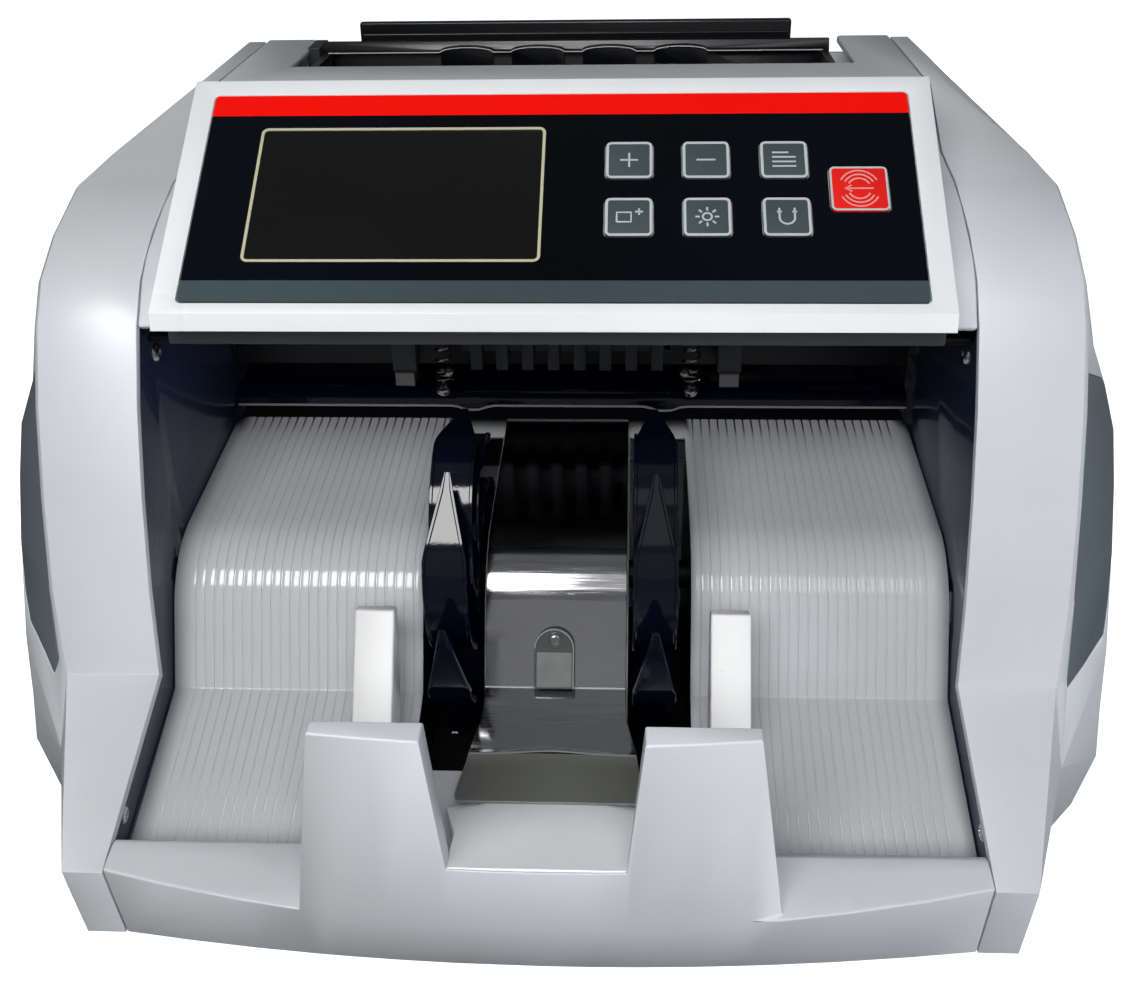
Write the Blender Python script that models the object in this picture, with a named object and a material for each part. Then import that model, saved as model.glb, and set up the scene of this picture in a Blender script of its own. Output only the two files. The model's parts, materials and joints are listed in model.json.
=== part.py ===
"""Banknote counting machine.

Lengths are in millimetres until a mesh is made. The design datum is a point on the floor below the
stacker pocket: x to the machine's right as a user sees it, y to the rear, z up. The front faces -Y.
"""
import math

import bmesh
import bpy
from mathutils import Vector

for stale in list(bpy.data.objects):
    bpy.data.objects.remove(stale, do_unlink=True)

MM = 0.001
CLEAR = 0.3                 # gap between two pieces that touch

# ---- driving dimensions -------------------------------------------------------------------------
REAR_Y = 140.0              # back face
FRONT_Y = -120.0            # foremost point of the front tray
DATUM_SHIFT = -(REAR_Y + FRONT_Y) / 2
FLOOR_Z = 5.0               # underside of the casing, the height of the feet
WALL = 2.5                  # moulded casing wall
ARCH_INNER_X = 107.0        # inner edge of each side arch
BELT_X = 150.0              # widest part of the side covers
NOTCH = (-51.0, 48.6)       # crease where the arch meets its leg
FOOT_EDGE = (-105.0, 30.0)  # foremost edge of the leg
COVER_EDGE = (-21.0, 137.4)  # lower front edge of the top cover
REAR_TOP_Z = 179.0

PANEL_FOOT = (-33.0, 146.0)  # lower front edge of the control panel's face
PANEL_SLOPE = math.radians(33.3)
PANEL_LENGTH = 76.0
PANEL_HALF = 98.4
FILM_HALF = 92.0
FILM_LOW, FILM_HIGH = 3.4, 70.5

WHEEL_AXIS = (-16.0, 60.0)  # stacker shaft, (y, z)
WHEEL_RADIUS = 47.0
WHEEL_X, WHEEL_HALF = 27.0, 5.75
BLADES = 7
FIRST_TIP = math.radians(15.0)

PLATE_HALF = 108.2          # sheet parts between the inner walls
WALL_X0, WALL_X1 = 108.7, 110.7
FRAME_X0, FRAME_X1 = 112.5, 114.5
SHAFT_END = 117.0
EXIT_AXIS = (72.0, 102.0)
TRANSPORT_AXIS = (92.0, 96.0)
FEED_AXIS = (104.0, 124.0)
PICKUP_AXIS = (122.0, 146.0)
MOTOR_AXIS = (100.0, 40.0)
PULLEY_X0, PULLEY_X1 = 116.5, 123.0
STACKER_PULLEY_R, MOTOR_PULLEY_R = 14.0, 9.0
ROLLER_X = (-36.0, -12.0, 12.0, 36.0)


# ---- materials ----------------------------------------------------------------------------------
def material(name, colour, roughness, metallic=0.0):
    made = bpy.data.materials.new(name)
    made.use_nodes = True
    shader = made.node_tree.nodes["Principled BSDF"]
    shader.inputs["Base Color"].default_value = (*colour, 1.0)
    shader.inputs["Roughness"].default_value = roughness
    shader.inputs["Metallic"].default_value = metallic
    return made


HOUSING = material("housing_grey", (0.66, 0.70, 0.72), 0.42)
BEZEL = material("bezel_white", (0.82, 0.84, 0.86), 0.35)
GRIP = material("grip_slate", (0.09, 0.11, 0.13), 0.5)
NAVY = material("inner_navy", (0.01, 0.012, 0.035), 0.12)
RIBBED = material("ribbed_grey", (0.55, 0.56, 0.57), 0.35)
STEEL = material("stainless", (0.55, 0.54, 0.52), 0.25, 1.0)
ZINC = material("zinc_steel", (0.45, 0.46, 0.47), 0.4, 1.0)
BLACK = material("black_gloss", (0.006, 0.006, 0.01), 0.15)
DULL = material("black_plastic", (0.012, 0.012, 0.014), 0.45)
FILM = material("panel_film", (0.005, 0.007, 0.014), 0.15)
SCREEN = material("display_window", (0.008, 0.008, 0.008), 0.05)
KEY = material("key_grey", (0.06, 0.08, 0.09), 0.3)
RED = material("key_red", (0.85, 0.01, 0.01), 0.3)
CLEAR_PART = material("clear_cover", (0.6, 0.62, 0.58), 0.1)
RUBBER = material("rubber", (0.02, 0.02, 0.02), 0.8)
BOARD = material("board_green", (0.01, 0.12, 0.05), 0.5)
WHITE = material("white_plastic", (0.8, 0.8, 0.78), 0.5)
COPPER = material("motor_metal", (0.3, 0.3, 0.32), 0.35, 1.0)


# ---- building tools -----------------------------------------------------------------------------
def empty(name, place, parent=None):
    made = bpy.data.objects.new(name, None)
    made.location = Vector(place) * MM
    made.parent = parent
    bpy.context.collection.objects.link(made)
    return made


datum = empty("datum", (0, DATUM_SHIFT, 0))
panel = empty("panel_plane", (0, *PANEL_FOOT), datum)
panel.rotation_euler = (PANEL_SLOPE, 0, 0)


def solid(name, points, faces, finish, pivot=(0, 0, 0), parent=None):
    """One named object from points in mm, with its origin at the pivot and its faces outward."""
    mesh = bpy.data.meshes.new(name)
    mesh.from_pydata([(Vector(p) - Vector(pivot)) * MM for p in points], [], faces)
    work = bmesh.new()
    work.from_mesh(mesh)
    bmesh.ops.recalc_face_normals(work, faces=work.faces)
    work.to_mesh(mesh)
    work.free()
    mesh.shade_smooth()
    mesh.set_sharp_from_angle(angle=math.radians(35))
    mesh.materials.append(finish)
    made = bpy.data.objects.new(name, mesh)
    made.parent = parent or datum
    made.location = Vector(pivot) * MM
    bpy.context.collection.objects.link(made)
    return made


def along(axis, a, b, t):
    """A point from its two outline coordinates and its place along the axis."""
    return {"X": (t, a, b), "Y": (a, t, b), "Z": (a, b, t)}[axis]


def prism(name, axis, outline, low, high, finish, pivot=(0, 0, 0), parent=None):
    count = len(outline)
    points = [along(axis, a, b, t) for t in (low, high) for a, b in outline]
    faces = [tuple(range(count)), tuple(range(2 * count - 1, count - 1, -1))]
    faces += [(i, (i + 1) % count, count + (i + 1) % count, count + i) for i in range(count)]
    return solid(name, points, faces, finish, pivot, parent)


def box(name, xs, ys, zs, finish, pivot=(0, 0, 0), parent=None):
    outline = [(ys[0], zs[0]), (ys[1], zs[0]), (ys[1], zs[1]), (ys[0], zs[1])]
    return prism(name, "X", outline, xs[0], xs[1], finish, pivot, parent)


def loft(name, sections, finish, pivot=(0, 0, 0), parent=None):
    """A closed solid through sections that all have the same number of points."""
    count = len(sections[0])
    points = [p for section in sections for p in section]
    faces = [tuple(range(count)), tuple(range(len(points) - 1, len(points) - count - 1, -1))]
    for s in range(len(sections) - 1):
        a, b = s * count, (s + 1) * count
        faces += [(a + i, a + (i + 1) % count, b + (i + 1) % count, b + i) for i in range(count)]
    return solid(name, points, faces, finish, pivot, parent)


def turned(name, axis, steps, finish, sides=24, parent=None):
    """A shaft along X at axis (y, z), turned through steps of (x, radius)."""
    rings = []
    for x, radius in steps:
        rings.append([(x, axis[0] + radius * math.cos(turn), axis[1] + radius * math.sin(turn))
                      for turn in (2 * math.pi * k / sides for k in range(sides))])
    return loft(name, rings, finish, (0, *axis), parent)


def disc(name, centre, radius, low, high, finish, sides=24, axis="X", pivot=(0, 0, 0), parent=None):
    outline = [(centre[0] + radius * math.cos(2 * math.pi * k / sides),
                centre[1] + radius * math.sin(2 * math.pi * k / sides)) for k in range(sides)]
    return prism(name, axis, outline, low, high, finish, pivot, parent)


def combine(target, operation, *tools):
    """Booleans with hidden tools; the tools stay as helpers and aren't parts."""
    for tool in tools:
        tool.hide_render = True
        tool.display_type = "WIRE"
        step = target.modifiers.new(operation.lower() + "_" + tool.name, "BOOLEAN")
        step.operation = operation
        step.object = tool
    return target


def cut(target, *tools):
    return combine(target, "DIFFERENCE", *tools)


def unite(target, *tools):
    return combine(target, "UNION", *tools)


def offset_path(path, distance):
    """The path moved sideways by distance, to the right of its direction, with mitred corners."""
    moved = []
    for i, here in enumerate(path):
        before = Vector(path[max(i - 1, 0)])
        after = Vector(path[min(i + 1, len(path) - 1)])
        point = Vector(here)
        arms = [arm.normalized() for arm in (point - before, after - point) if arm.length > 1e-6]
        normals = [Vector((arm.y, -arm.x)) for arm in arms]
        mean = sum(normals, Vector((0, 0))).normalized()
        moved.append(tuple(point + mean * (distance / mean.dot(normals[0]))))
    return moved


def sheet(name, path, thickness, x0, x1, finish, pivot=(0, 0, 0)):
    """A bent sheet: its upper line is the path, from rear to front, its thickness below it."""
    return prism(name, "X", path + offset_path(path, -thickness)[::-1], x0, x1, finish, pivot)


def rounded(width, height, radius, steps=4):
    """A rounded rectangle centred on the origin."""
    outline = []
    for quarter, (sx, sy) in enumerate(((1, 1), (-1, 1), (-1, -1), (1, -1))):
        for k in range(steps + 1):
            turn = math.pi / 2 * (quarter + k / steps)
            outline.append((sx * (width / 2 - radius) + radius * math.cos(turn),
                            sy * (height / 2 - radius) + radius * math.sin(turn)))
    return outline


# ---- casing -------------------------------------------------------------------------------------
# Each row crosses the side cover from the arch's outer edge (y, z, x), over the fold beside it,
# to the edge of the flat side belt. The first rows are the leg, the last ones the rear corner.
SIDE_ROWS = [
    ((-101.0, 5.0, 117.0), (-60.0, 5.0, 134.0), (-47.5, 5.0, 145.0)),
    ((-103.5, 20.0, 117.0), (-60.5, 20.0, 134.0), (-44.5, 20.0, BELT_X)),
    ((*FOOT_EDGE, 117.0), (-61.0, 30.0, 134.2), (-40.0, 33.0, BELT_X)),
    ((*NOTCH, 132.5), (-49.6, 49.6, 134.2), (-35.5, 50.0, BELT_X)),
    ((-46.5, 72.0, 133.0), (-45.0, 72.3, 134.4), (-25.0, 75.0, BELT_X)),
    ((-39.0, 97.0, 133.0), (-37.5, 96.6, 134.4), (-17.0, 91.0, BELT_X)),
    ((-30.5, 119.0, 133.0), (-29.1, 118.3, 134.4), (-9.0, 103.5, BELT_X)),
    ((-21.0, 137.4, 133.0), (-19.7, 136.6, 134.4), (3.0, 111.0, BELT_X)),
    ((-13.0, 147.0, 133.0), (-12.0, 145.9, 134.4), (14.0, 114.5, BELT_X)),
    ((1.0, 155.0, 133.0), (1.8, 153.7, 134.4), (28.0, 117.0, BELT_X)),
    ((22.0, 162.0, 133.0), (22.4, 160.6, 134.4), (44.0, 119.0, BELT_X)),
    ((42.0, 164.8, 130.4), (42.3, 163.4, 131.8), (58.0, 120.2, BELT_X)),
    ((66.0, 177.8, 112.0), (66.2, 166.8, 127.5), (74.0, 121.6, BELT_X)),
    ((136.0, 178.4, 112.6), (136.0, 177.0, 114.2), (124.0, 126.0, BELT_X)),
    ((REAR_Y, 174.5, 113.0), (139.0, 173.5, 114.6), (126.0, 123.0, BELT_X)),
    ((REAR_Y, 20.0, 124.0), (139.2, 20.0, 125.4), (126.0, 20.0, BELT_X)),
    ((REAR_Y, 5.0, 124.0), (139.2, 5.0, 125.4), (125.0, 5.0, 145.0)),
]
LEG_LOW_ROW, BELT_LOW_REAR_ROW = 1, 15

# Seen from the side: the dark grip follows the arch and tapers to the rear.
GRIP_OUTLINE = [(-48.6, 46.2), (-44.4, 72.5), (-37.2, 96.6), (-28.8, 118.5), (-24.4, 127.0),
                (2.0, 111.8), (30.0, 104.0), (62.0, 99.0), (30.0, 95.0), (6.0, 90.0), (-12.0, 84.0),
                (-23.6, 77.0), (-31.0, 62.0), (-35.4, 54.9), (-43.0, 49.6)]
GRIP_X0, GRIP_X1 = 134.1, 156.0


def side_shell(name, side, finish):
    """The skin of a side cover, thickened inward. It is open toward the machine and below."""
    inner = [(side * ARCH_INNER_X, y, z) for (y, z, _), _, _ in SIDE_ROWS]
    columns = [inner] + [[(side * row[c][2], row[c][0], row[c][1]) for row in SIDE_ROWS]
                         for c in range(3)]
    rows = len(SIDE_ROWS)
    points = [p for column in columns for p in column]
    faces = []
    for c in range(3):
        for r in range(rows - 1):
            a = c * rows + r
            faces.append((a, a + 1, a + rows + 1, a + rows))
    belt = 3 * rows
    faces.append(tuple(range(belt + LEG_LOW_ROW, belt + BELT_LOW_REAR_ROW + 1)))
    faces.append((belt, belt + LEG_LOW_ROW, belt + BELT_LOW_REAR_ROW, belt + rows - 1))
    if side > 0:
        faces = [face[::-1] for face in faces]
    mesh = bpy.data.meshes.new(name)
    mesh.from_pydata([Vector(p) * MM for p in points], [], faces)
    mesh.materials.append(finish)
    made = bpy.data.objects.new(name, mesh)
    made.parent = datum
    bpy.context.collection.objects.link(made)
    thick = made.modifiers.new("wall", "SOLIDIFY")
    thick.thickness = WALL * MM
    thick.offset = -1
    thick.use_even_offset = True
    thick.use_quality_normals = True
    return made


def casing_sides():
    for side, word in ((-1, "left"), (1, "right")):
        window = prism("grip_window_" + word, "X", GRIP_OUTLINE,
                       *sorted((side * GRIP_X0, side * GRIP_X1)), GRIP)
        cut(side_shell("side_cover_" + word, side, HOUSING), window)
        inside = offset_path(GRIP_OUTLINE + GRIP_OUTLINE[:2], CLEAR)[1:-1]
        stencil = prism("grip_stencil_" + word, "X", inside,
                        *sorted((side * (GRIP_X0 + CLEAR), side * GRIP_X1)), GRIP)
        combine(side_shell("side_grip_" + word, side, GRIP), "INTERSECT", stencil)


BASE_FRONT_Y = -94.8


def base_tray():
    tray = box("base_tray", (-104, 104), (BASE_FRONT_Y, 136), (FLOOR_Z, 16), HOUSING)
    cut(tray, box("base_hollow", (-101.5, 101.5), (BASE_FRONT_Y + WALL, 133.5),
                  (FLOOR_Z + WALL, 30), HOUSING))
    for x, fore in ((-84, "front_left"), (84, "front_right")):
        for y, name in ((-66, fore), (112, fore.replace("front", "rear"))):
            disc("rubber_foot_" + name, (x, y), 9.0, 0.0, FLOOR_Z - CLEAR, RUBBER, 20, "Z")


COVER_PATH = [COVER_EDGE, (-13.0, 147.0), (-7.0, 151.4), (1.0, 155.0), (11.0, 159.0), (22.0, 162.0),
              (42.0, 164.8), (66.0, 177.8), (136.0, 178.4), (REAR_Y - CLEAR, 178.4)]
HOPPER_HALF = 89.4
HOPPER_FRONT_Y = 96.6


def top_cover():
    edge = ARCH_INNER_X - CLEAR
    cover = prism("top_cover", "X", COVER_PATH + offset_path(COVER_PATH, WALL)[::-1],
                  -edge, edge, HOUSING)
    cut(cover, box("hopper_opening", (-HOPPER_HALF, HOPPER_HALF), (HOPPER_FRONT_Y, REAR_Y + 5),
                   (150, 190), HOUSING))
    visor = [(-21.5, 136.4), (-21.5, 132.8), (-12.0, 131.2), (-12.0, 133.2), (-18.5, 134.6)]
    prism("pocket_visor", "X", visor, -99.0, 99.0, HOUSING)


def rear_cover():
    edge = ARCH_INNER_X - CLEAR
    cover = box("rear_cover", (-edge, edge), (REAR_Y - WALL, REAR_Y), (FLOOR_Z, 173), HOUSING)
    for row in range(7):
        z = 96 + 7 * row
        cut(cover, box("vent_slot_%d" % row, (-50, 50), (REAR_Y - 5, REAR_Y + 5), (z, z + 3), HOUSING))
    cut(cover, box("inlet_cutout", (-78, -28), (REAR_Y - 5, REAR_Y + 5), (24, 52), HOUSING))


# ---- front tray ---------------------------------------------------------------------------------
TRAY_HALF = ARCH_INNER_X - CLEAR
LIP_Z, DIP_Z, POST_TOP_Z = 31.0, 48.2, 83.6
TRAY_BACK = (-97.5, 32.3)   # rear edge of the ledge, where its wall drops to the base
TRAY_WALL_Y = -95.4


def tray_front(x, z):
    """How far forward the tray's bulging front face is."""
    bulge = 1 - (x / TRAY_HALF) ** 2
    low = -101.0 - 7.6 * bulge
    lip = -105.0 - 15.0 * bulge
    if z <= LIP_Z:
        return low + (lip - low) * (z - FLOOR_Z) / (LIP_Z - FLOOR_Z)
    return lip + 0.03 * (z - LIP_Z)


def tray_section(x, kind):
    face = [(tray_front(x, FLOOR_Z), FLOOR_Z), (tray_front(x, LIP_Z), LIP_Z)]
    if kind == "ledge":
        lip, back = Vector(face[1]), Vector(TRAY_BACK)
        upper = [tuple(lip.lerp(back, t)) for t in (0.1, 0.35, 0.7)]
    elif kind == "dip":
        upper = [(tray_front(x, DIP_Z), DIP_Z), (-111.0, 42.1), (-103.0, 35.7)]
    else:
        upper = [(tray_front(x, POST_TOP_Z), POST_TOP_Z), (-111.0, POST_TOP_Z), (-103.5, 36.0)]
    wall = [(TRAY_WALL_Y + 0.2, 31.6), (TRAY_WALL_Y, 30.6)]
    if kind == "dip":
        wall = [(-86.8, 22.8), (-87.0, 21.2)]
    wall += [(TRAY_WALL_Y, 28.4), (TRAY_WALL_Y, FLOOR_Z)]
    return [(x, y, z) for y, z in face + upper + [TRAY_BACK] + wall]


def front_tray():
    half = [(0.0, "dip"), (12.0, "dip"), (20.3, "dip"), (23.9, "post"), (36.0, "post"),
            (48.6, "post"), (56.0, "ledge"), (72.0, "ledge"), (90.0, "ledge"), (TRAY_HALF, "ledge")]
    stations = [(-x, kind) for x, kind in half[:0:-1]] + half
    tray = loft("front_tray", [tray_section(x, kind) for x, kind in stations], HOUSING)
    hollow = [(x, tray_front(x, FLOOR_Z) + 3.0) for x in range(-80, 81, 20)]
    hollow += [(80.0, TRAY_WALL_Y - WALL), (-80.0, TRAY_WALL_Y - WALL)]
    cut(tray, prism("tray_hollow", "Z", hollow, 0.0, LIP_Z - 3.5, HOUSING))


# ---- control panel ------------------------------------------------------------------------------
WINDOW_X, WINDOW_S = (-77.4, -3.0), (15.9, 58.6)
KEY_SIZE = 11.9
KEY_HOLE = 12.8
GREY_KEYS = {"key_plus": (19.3, 47.6), "key_minus": (39.0, 47.6), "key_batch": (58.9, 47.6),
             "key_add": (19.3, 29.2), "key_uv": (39.0, 29.2), "key_magnetic": (58.9, 29.2)}
RESET_AT, RESET_SIZE = (77.4, 38.1), (14.6, 14.0)
FILM_TOP, FILM_THICK, RECESS = 0.0, 0.8, 1.8
SKIN = 3.6                  # the panel's face plate
BOARD_DEPTH = 6.2


def panel_hole(name, centre, size, low):
    return prism(name, "Z", [(centre[0] + a, centre[1] + b) for a, b in rounded(*size, 1.4, 3)],
                 low, 4.0, FILM, parent=panel)


def on_panel(s, depth):
    """The (y, z) point at distance s up the panel and at a depth below its face."""
    return (PANEL_FOOT[0] + s * math.cos(PANEL_SLOPE) + depth * math.sin(PANEL_SLOPE),
            PANEL_FOOT[1] + s * math.sin(PANEL_SLOPE) - depth * math.cos(PANEL_SLOPE))


def control_panel():
    top = on_panel(PANEL_LENGTH, 0)
    outline = [(-33.8, 141.5), PANEL_FOOT, top, (top[0] + 3.0, top[1] - 1.6), (39.0, 165.2),
               (22.0, 162.6), (11.0, 159.6), (1.0, 155.6), (-7.0, 152.0), (-13.6, 147.2),
               (-21.6, 138.2), (-25.0, 139.6)]
    bezel = prism("panel_bezel", "X", outline, -PANEL_HALF, PANEL_HALF, BEZEL)
    cavity = [on_panel(15.5, SKIN), on_panel(PANEL_LENGTH - 3.5, SKIN), (35.0, 178.0), (36.5, 158.0),
              (11.0, 150.0), (-12.0, 138.0)]
    cut(bezel, prism("bezel_cavity", "X", cavity, -PANEL_HALF + 3, PANEL_HALF - 3, BEZEL))
    film_mid = (FILM_LOW + FILM_HIGH) / 2
    film_size = (2 * FILM_HALF, FILM_HIGH - FILM_LOW)
    cut(bezel, panel_hole("film_recess", (0, film_mid), (film_size[0] + 0.8, film_size[1] + 0.8),
                          -RECESS))
    film = prism("panel_film", "Z", [(a, film_mid + b) for a, b in rounded(*film_size, 1.0, 2)],
                 FILM_TOP - FILM_THICK, FILM_TOP, FILM, parent=panel)
    for name, centre in GREY_KEYS.items():
        make_key(name, centre, (KEY_SIZE, KEY_SIZE), KEY, film, bezel)
    make_key("key_reset", RESET_AT, RESET_SIZE, RED, film, bezel)
    x_mid, s_mid = sum(WINDOW_X) / 2, sum(WINDOW_S) / 2
    width, height = WINDOW_X[1] - WINDOW_X[0], WINDOW_S[1] - WINDOW_S[0]
    cut(film, panel_hole("window_hole", (x_mid, s_mid), (width + 0.6, height + 0.6), -3.0))
    prism("display_window", "Z", [(x_mid + a, s_mid + b) for a, b in rounded(width, height, 1.2, 3)],
          -RECESS + CLEAR, -0.1, SCREEN, parent=panel)
    box("main_board", (-84, 90), (17, 68), (-BOARD_DEPTH - 1.6, -BOARD_DEPTH), BOARD, parent=panel)


def make_key(name, centre, size, finish, film, bezel):
    """A cap that lies in the film, on a stem that passes through the bezel to its switch."""
    def shifted(outline):
        return [(centre[0] + a, centre[1] + b) for a, b in outline]
    origin = empty(name + "_travel", (*centre, 0), panel)
    cap = prism(name, "Z", rounded(*size, 1.4, 3), -FILM_THICK - 0.1, CLEAR, finish, parent=origin)
    stem = prism(name + "_stem", "Z", rounded(7, 7, 1.0, 2), -5.0, -0.2, finish, parent=origin)
    unite(cap, stem)
    cut(film, prism(name + "_film_hole", "Z",
                    shifted(rounded(size[0] + 0.8, size[1] + 0.8, 1.6, 3)), -3, 3, finish,
                    parent=panel))
    cut(bezel, prism(name + "_stem_hole", "Z", shifted(rounded(8, 8, 1.2, 2)), -SKIN - 3, 1, finish,
                     parent=panel))


# ---- stacker pocket -----------------------------------------------------------------------------
PLATE_PATH = [(51.0, 76.0), (-12.5, 70.5), (-18.0, 69.2), (-22.5, 66.8), (-26.0, 63.0),
              (-40.0, 35.4), (-85.6, 21.0), (-93.4, 18.5)]
SLOT_X, SLOT_Y = (20.0, 37.5), (-64.0, 41.0)
# Along the steel plate: y, z and half width.
STEEL_PATH = [(49.0, 77.3, 19.6), (-12.5, 71.9, 19.6), (-18.6, 70.5, 19.6), (-23.6, 67.8, 19.6),
              (-27.4, 63.6, 19.6), (-41.5, 38.6, 19.6), (-50.0, 35.1, 19.8), (-59.5, 31.6, 22.6),
              (-79.0, 32.6, 24.2), (-80.6, 32.8, 23.2)]
REST_X = (41.5, 52.0)
REST_OUTLINE = [(-48.0, 68.6), (-44.0, 67.4), (-46.5, 56.0), (-55.0, 31.2), (-80.0, 23.4)]
INNER_WALL = [(-97.0, 8.5), (-99.0, 26.6), (-47.4, 46.0), (-43.0, 71.5), (-35.6, 95.8),
              (-27.4, 117.0), (-17.0, 134.0), (-9.0, 142.8), (4.0, 150.0), (60.0, 158.0), (60.0, 8.5)]


def pocket_plates():
    plate = sheet("stacker_plate", PLATE_PATH, 2.0, -PLATE_HALF, PLATE_HALF, RIBBED)
    for side, word in ((-1, "left"), (1, "right")):
        xs = sorted((side * SLOT_X[0], side * SLOT_X[1]))
        cut(plate, box("wheel_slot_" + word, xs, SLOT_Y, (0, 90), RIBBED))
        rest = sorted((side * REST_X[0], side * REST_X[1]))
        prism("stack_rest_" + word, "X", REST_OUTLINE, *rest, WHITE)
        wall = prism("inner_wall_" + word, "X", INNER_WALL,
                     *sorted((side * WALL_X0, side * WALL_X1)), NAVY)
        cut(wall, disc("wall_bore_" + word, WHEEL_AXIS, 4.8,
                       *sorted((side * 100, side * 112)), NAVY))
    line = [(y, z) for y, z, _ in STEEL_PATH]
    under = offset_path(line, -0.8)
    sections = []
    for (y, z, half), (y_low, z_low) in zip(STEEL_PATH, under):
        sections.append([(-half, y, z), (half, y, z), (half, y_low, z_low), (-half, y_low, z_low)])
    loft("centre_plate", sections, STEEL)
    arch = [(-5.0, 0.0), (5.0, 0.0), (5.0, 13.0)]
    arch += [(5.0 * math.cos(math.pi * k / 10), 13.0 + 5.0 * math.sin(math.pi * k / 10))
             for k in range(1, 10)] + [(-5.0, 13.0)]
    slope = math.atan2(63.6 - 38.6, 41.5 - 27.4)
    tilt = empty("sensor_seat", (-0.5, -41.9, 38.7), datum)
    tilt.rotation_euler = (slope, 0, 0)
    prism("sensor_cover", "Z", [(a, b) for a, b in arch], 0.6, 3.0, CLEAR_PART, parent=tilt)


SHAFT_RADIUS, HUB_RADIUS = 4.0, 15.0
BLADE_SWEEP, BLADE_STEPS = math.radians(118), 13
BLADE_ROOT, TIP_HALF, POINT_SHARE = 13.0, 0.7, 0.18
BLADE_TIP_THICK, BLADE_ROOT_THICK = 1.3, 3.2


def blade_sections(tip_angle, at_x):
    """One curved blade: a pointed strip that spirals from its tip into the hub."""
    sections = []
    for k in range(BLADE_STEPS + 1):
        t = (k / BLADE_STEPS) ** 1.15
        turn = tip_angle - BLADE_SWEEP * t
        radius = WHEEL_RADIUS - (WHEEL_RADIUS - BLADE_ROOT) * t ** 1.55
        half = TIP_HALF + (WHEEL_HALF - TIP_HALF) * min(1.0, t / POINT_SHARE) ** 0.85
        thick = BLADE_TIP_THICK + (BLADE_ROOT_THICK - BLADE_TIP_THICK) * t
        corners = []
        for x, r in ((-half, radius), (half, radius), (half * 0.96, radius - thick),
                     (-half * 0.96, radius - thick)):
            corners.append((at_x + x, WHEEL_AXIS[0] - r * math.cos(turn),
                            WHEEL_AXIS[1] + r * math.sin(turn)))
        sections.append(corners)
    return sections


def stacker():
    turned("stacker_shaft", WHEEL_AXIS, [(-SHAFT_END, SHAFT_RADIUS), (125.0, SHAFT_RADIUS)],
           ZINC)
    for side, word in ((-1, "left"), (1, "right")):
        at_x = side * WHEEL_X
        hub = disc("stacker_wheel_" + word, WHEEL_AXIS, HUB_RADIUS, at_x - WHEEL_HALF,
                   at_x + WHEEL_HALF, BLACK, 32, pivot=(0, *WHEEL_AXIS))
        for k in range(BLADES):
            tip = FIRST_TIP + 2 * math.pi * k / BLADES
            unite(hub, loft("blade_%s_%d" % (word, k), blade_sections(tip, at_x), BLACK))
        cut(hub, disc("wheel_bore_" + word, WHEEL_AXIS, SHAFT_RADIUS + CLEAR, at_x - 10, at_x + 10,
                      BLACK))
    pulley = turned("stacker_pulley", WHEEL_AXIS,
                    [(PULLEY_X0, 16.0), (PULLEY_X0 + 1, 16.0), (PULLEY_X0 + 1, STACKER_PULLEY_R),
                     (PULLEY_X1 - 1, STACKER_PULLEY_R), (PULLEY_X1 - 1, 16.0), (PULLEY_X1, 16.0)],
                    DULL, 32)
    cut(pulley, disc("pulley_bore", WHEEL_AXIS, SHAFT_RADIUS + CLEAR, 110, 130, DULL))


def spring(name, x, y, low, high, radius=3.0, wire=0.45, turns=6):
    """A coil spring as one swept tube with flat ends."""
    around, ring = 12, 6
    count = turns * around
    sections = []
    for k in range(count + 1):
        turn = 2 * math.pi * k / around
        centre = Vector((x + radius * math.cos(turn), y + radius * math.sin(turn),
                         low + (high - low) * k / count))
        out = Vector((math.cos(turn), math.sin(turn), 0))
        sections.append([tuple(centre + out * wire * math.cos(a) + Vector((0, 0, wire)) * math.sin(a))
                         for a in (2 * math.pi * j / ring for j in range(ring))])
    return loft(name, sections, ZINC)


COMB_PITCH, COMB_RIBS, RIB_HALF, RIB_FOOT_Z = 8.1, 8, 1.9, 95.0
POST_X, POST_HALF, POST_FOOT_Z, SPRING_X = 50.7, 3.7, 91.0, 39.2


def exit_parts():
    sheet("pocket_hood", [(60.0, 92.0), (60.0, 120.0), (55.0, 126.0), (-11.0, 130.6)], 2.0,
          -PLATE_HALF, PLATE_HALF, DULL)
    comb = box("guide_comb", (-33, 33), (50.0, 54.5), (100, 119), DULL)
    for k in range(COMB_RIBS):
        x = (k - (COMB_RIBS - 1) / 2) * COMB_PITCH
        unite(comb, box("comb_rib_%d" % k, (x - RIB_HALF, x + RIB_HALF), (46.5, 52.0),
                        (RIB_FOOT_Z, 118.5), DULL))
    lip = [(78.0, 87.0), (56.0, 84.9), (53.2, 83.6), (52.0, 79.0)]
    sheet("exit_guide", lip, 1.6, -PLATE_HALF, PLATE_HALF, BLACK)
    for side, word in ((-1, "left"), (1, "right")):
        x = side * POST_X
        post = box("pressure_post_" + word, (x - POST_HALF, x + POST_HALF), (44, 52),
                   (POST_FOOT_Z + 4.6, 121), GRIP)
        foot_half = POST_HALF - 0.6
        unite(post, box("post_foot_" + word, (x - foot_half, x + foot_half), (43, 52),
                        (POST_FOOT_Z, POST_FOOT_Z + 5.0), GRIP))
        spring("pressure_spring_" + word, side * SPRING_X, 50.0, 90.0, 118.0)


# ---- drive and hopper ---------------------------------------------------------------------------
def roller_shaft(name, axis, centres, radius, width, sides=24):
    """A shaft through both frame plates, with rubber rollers on it."""
    steps = [(-SHAFT_END, 3.0)]
    for x in centres:
        steps += [(x - width / 2, 3.0), (x - width / 2, radius),
                  (x + width / 2, radius), (x + width / 2, 3.0)]
    steps.append((SHAFT_END, 3.0))
    return turned(name, axis, steps, RUBBER, sides)


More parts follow.
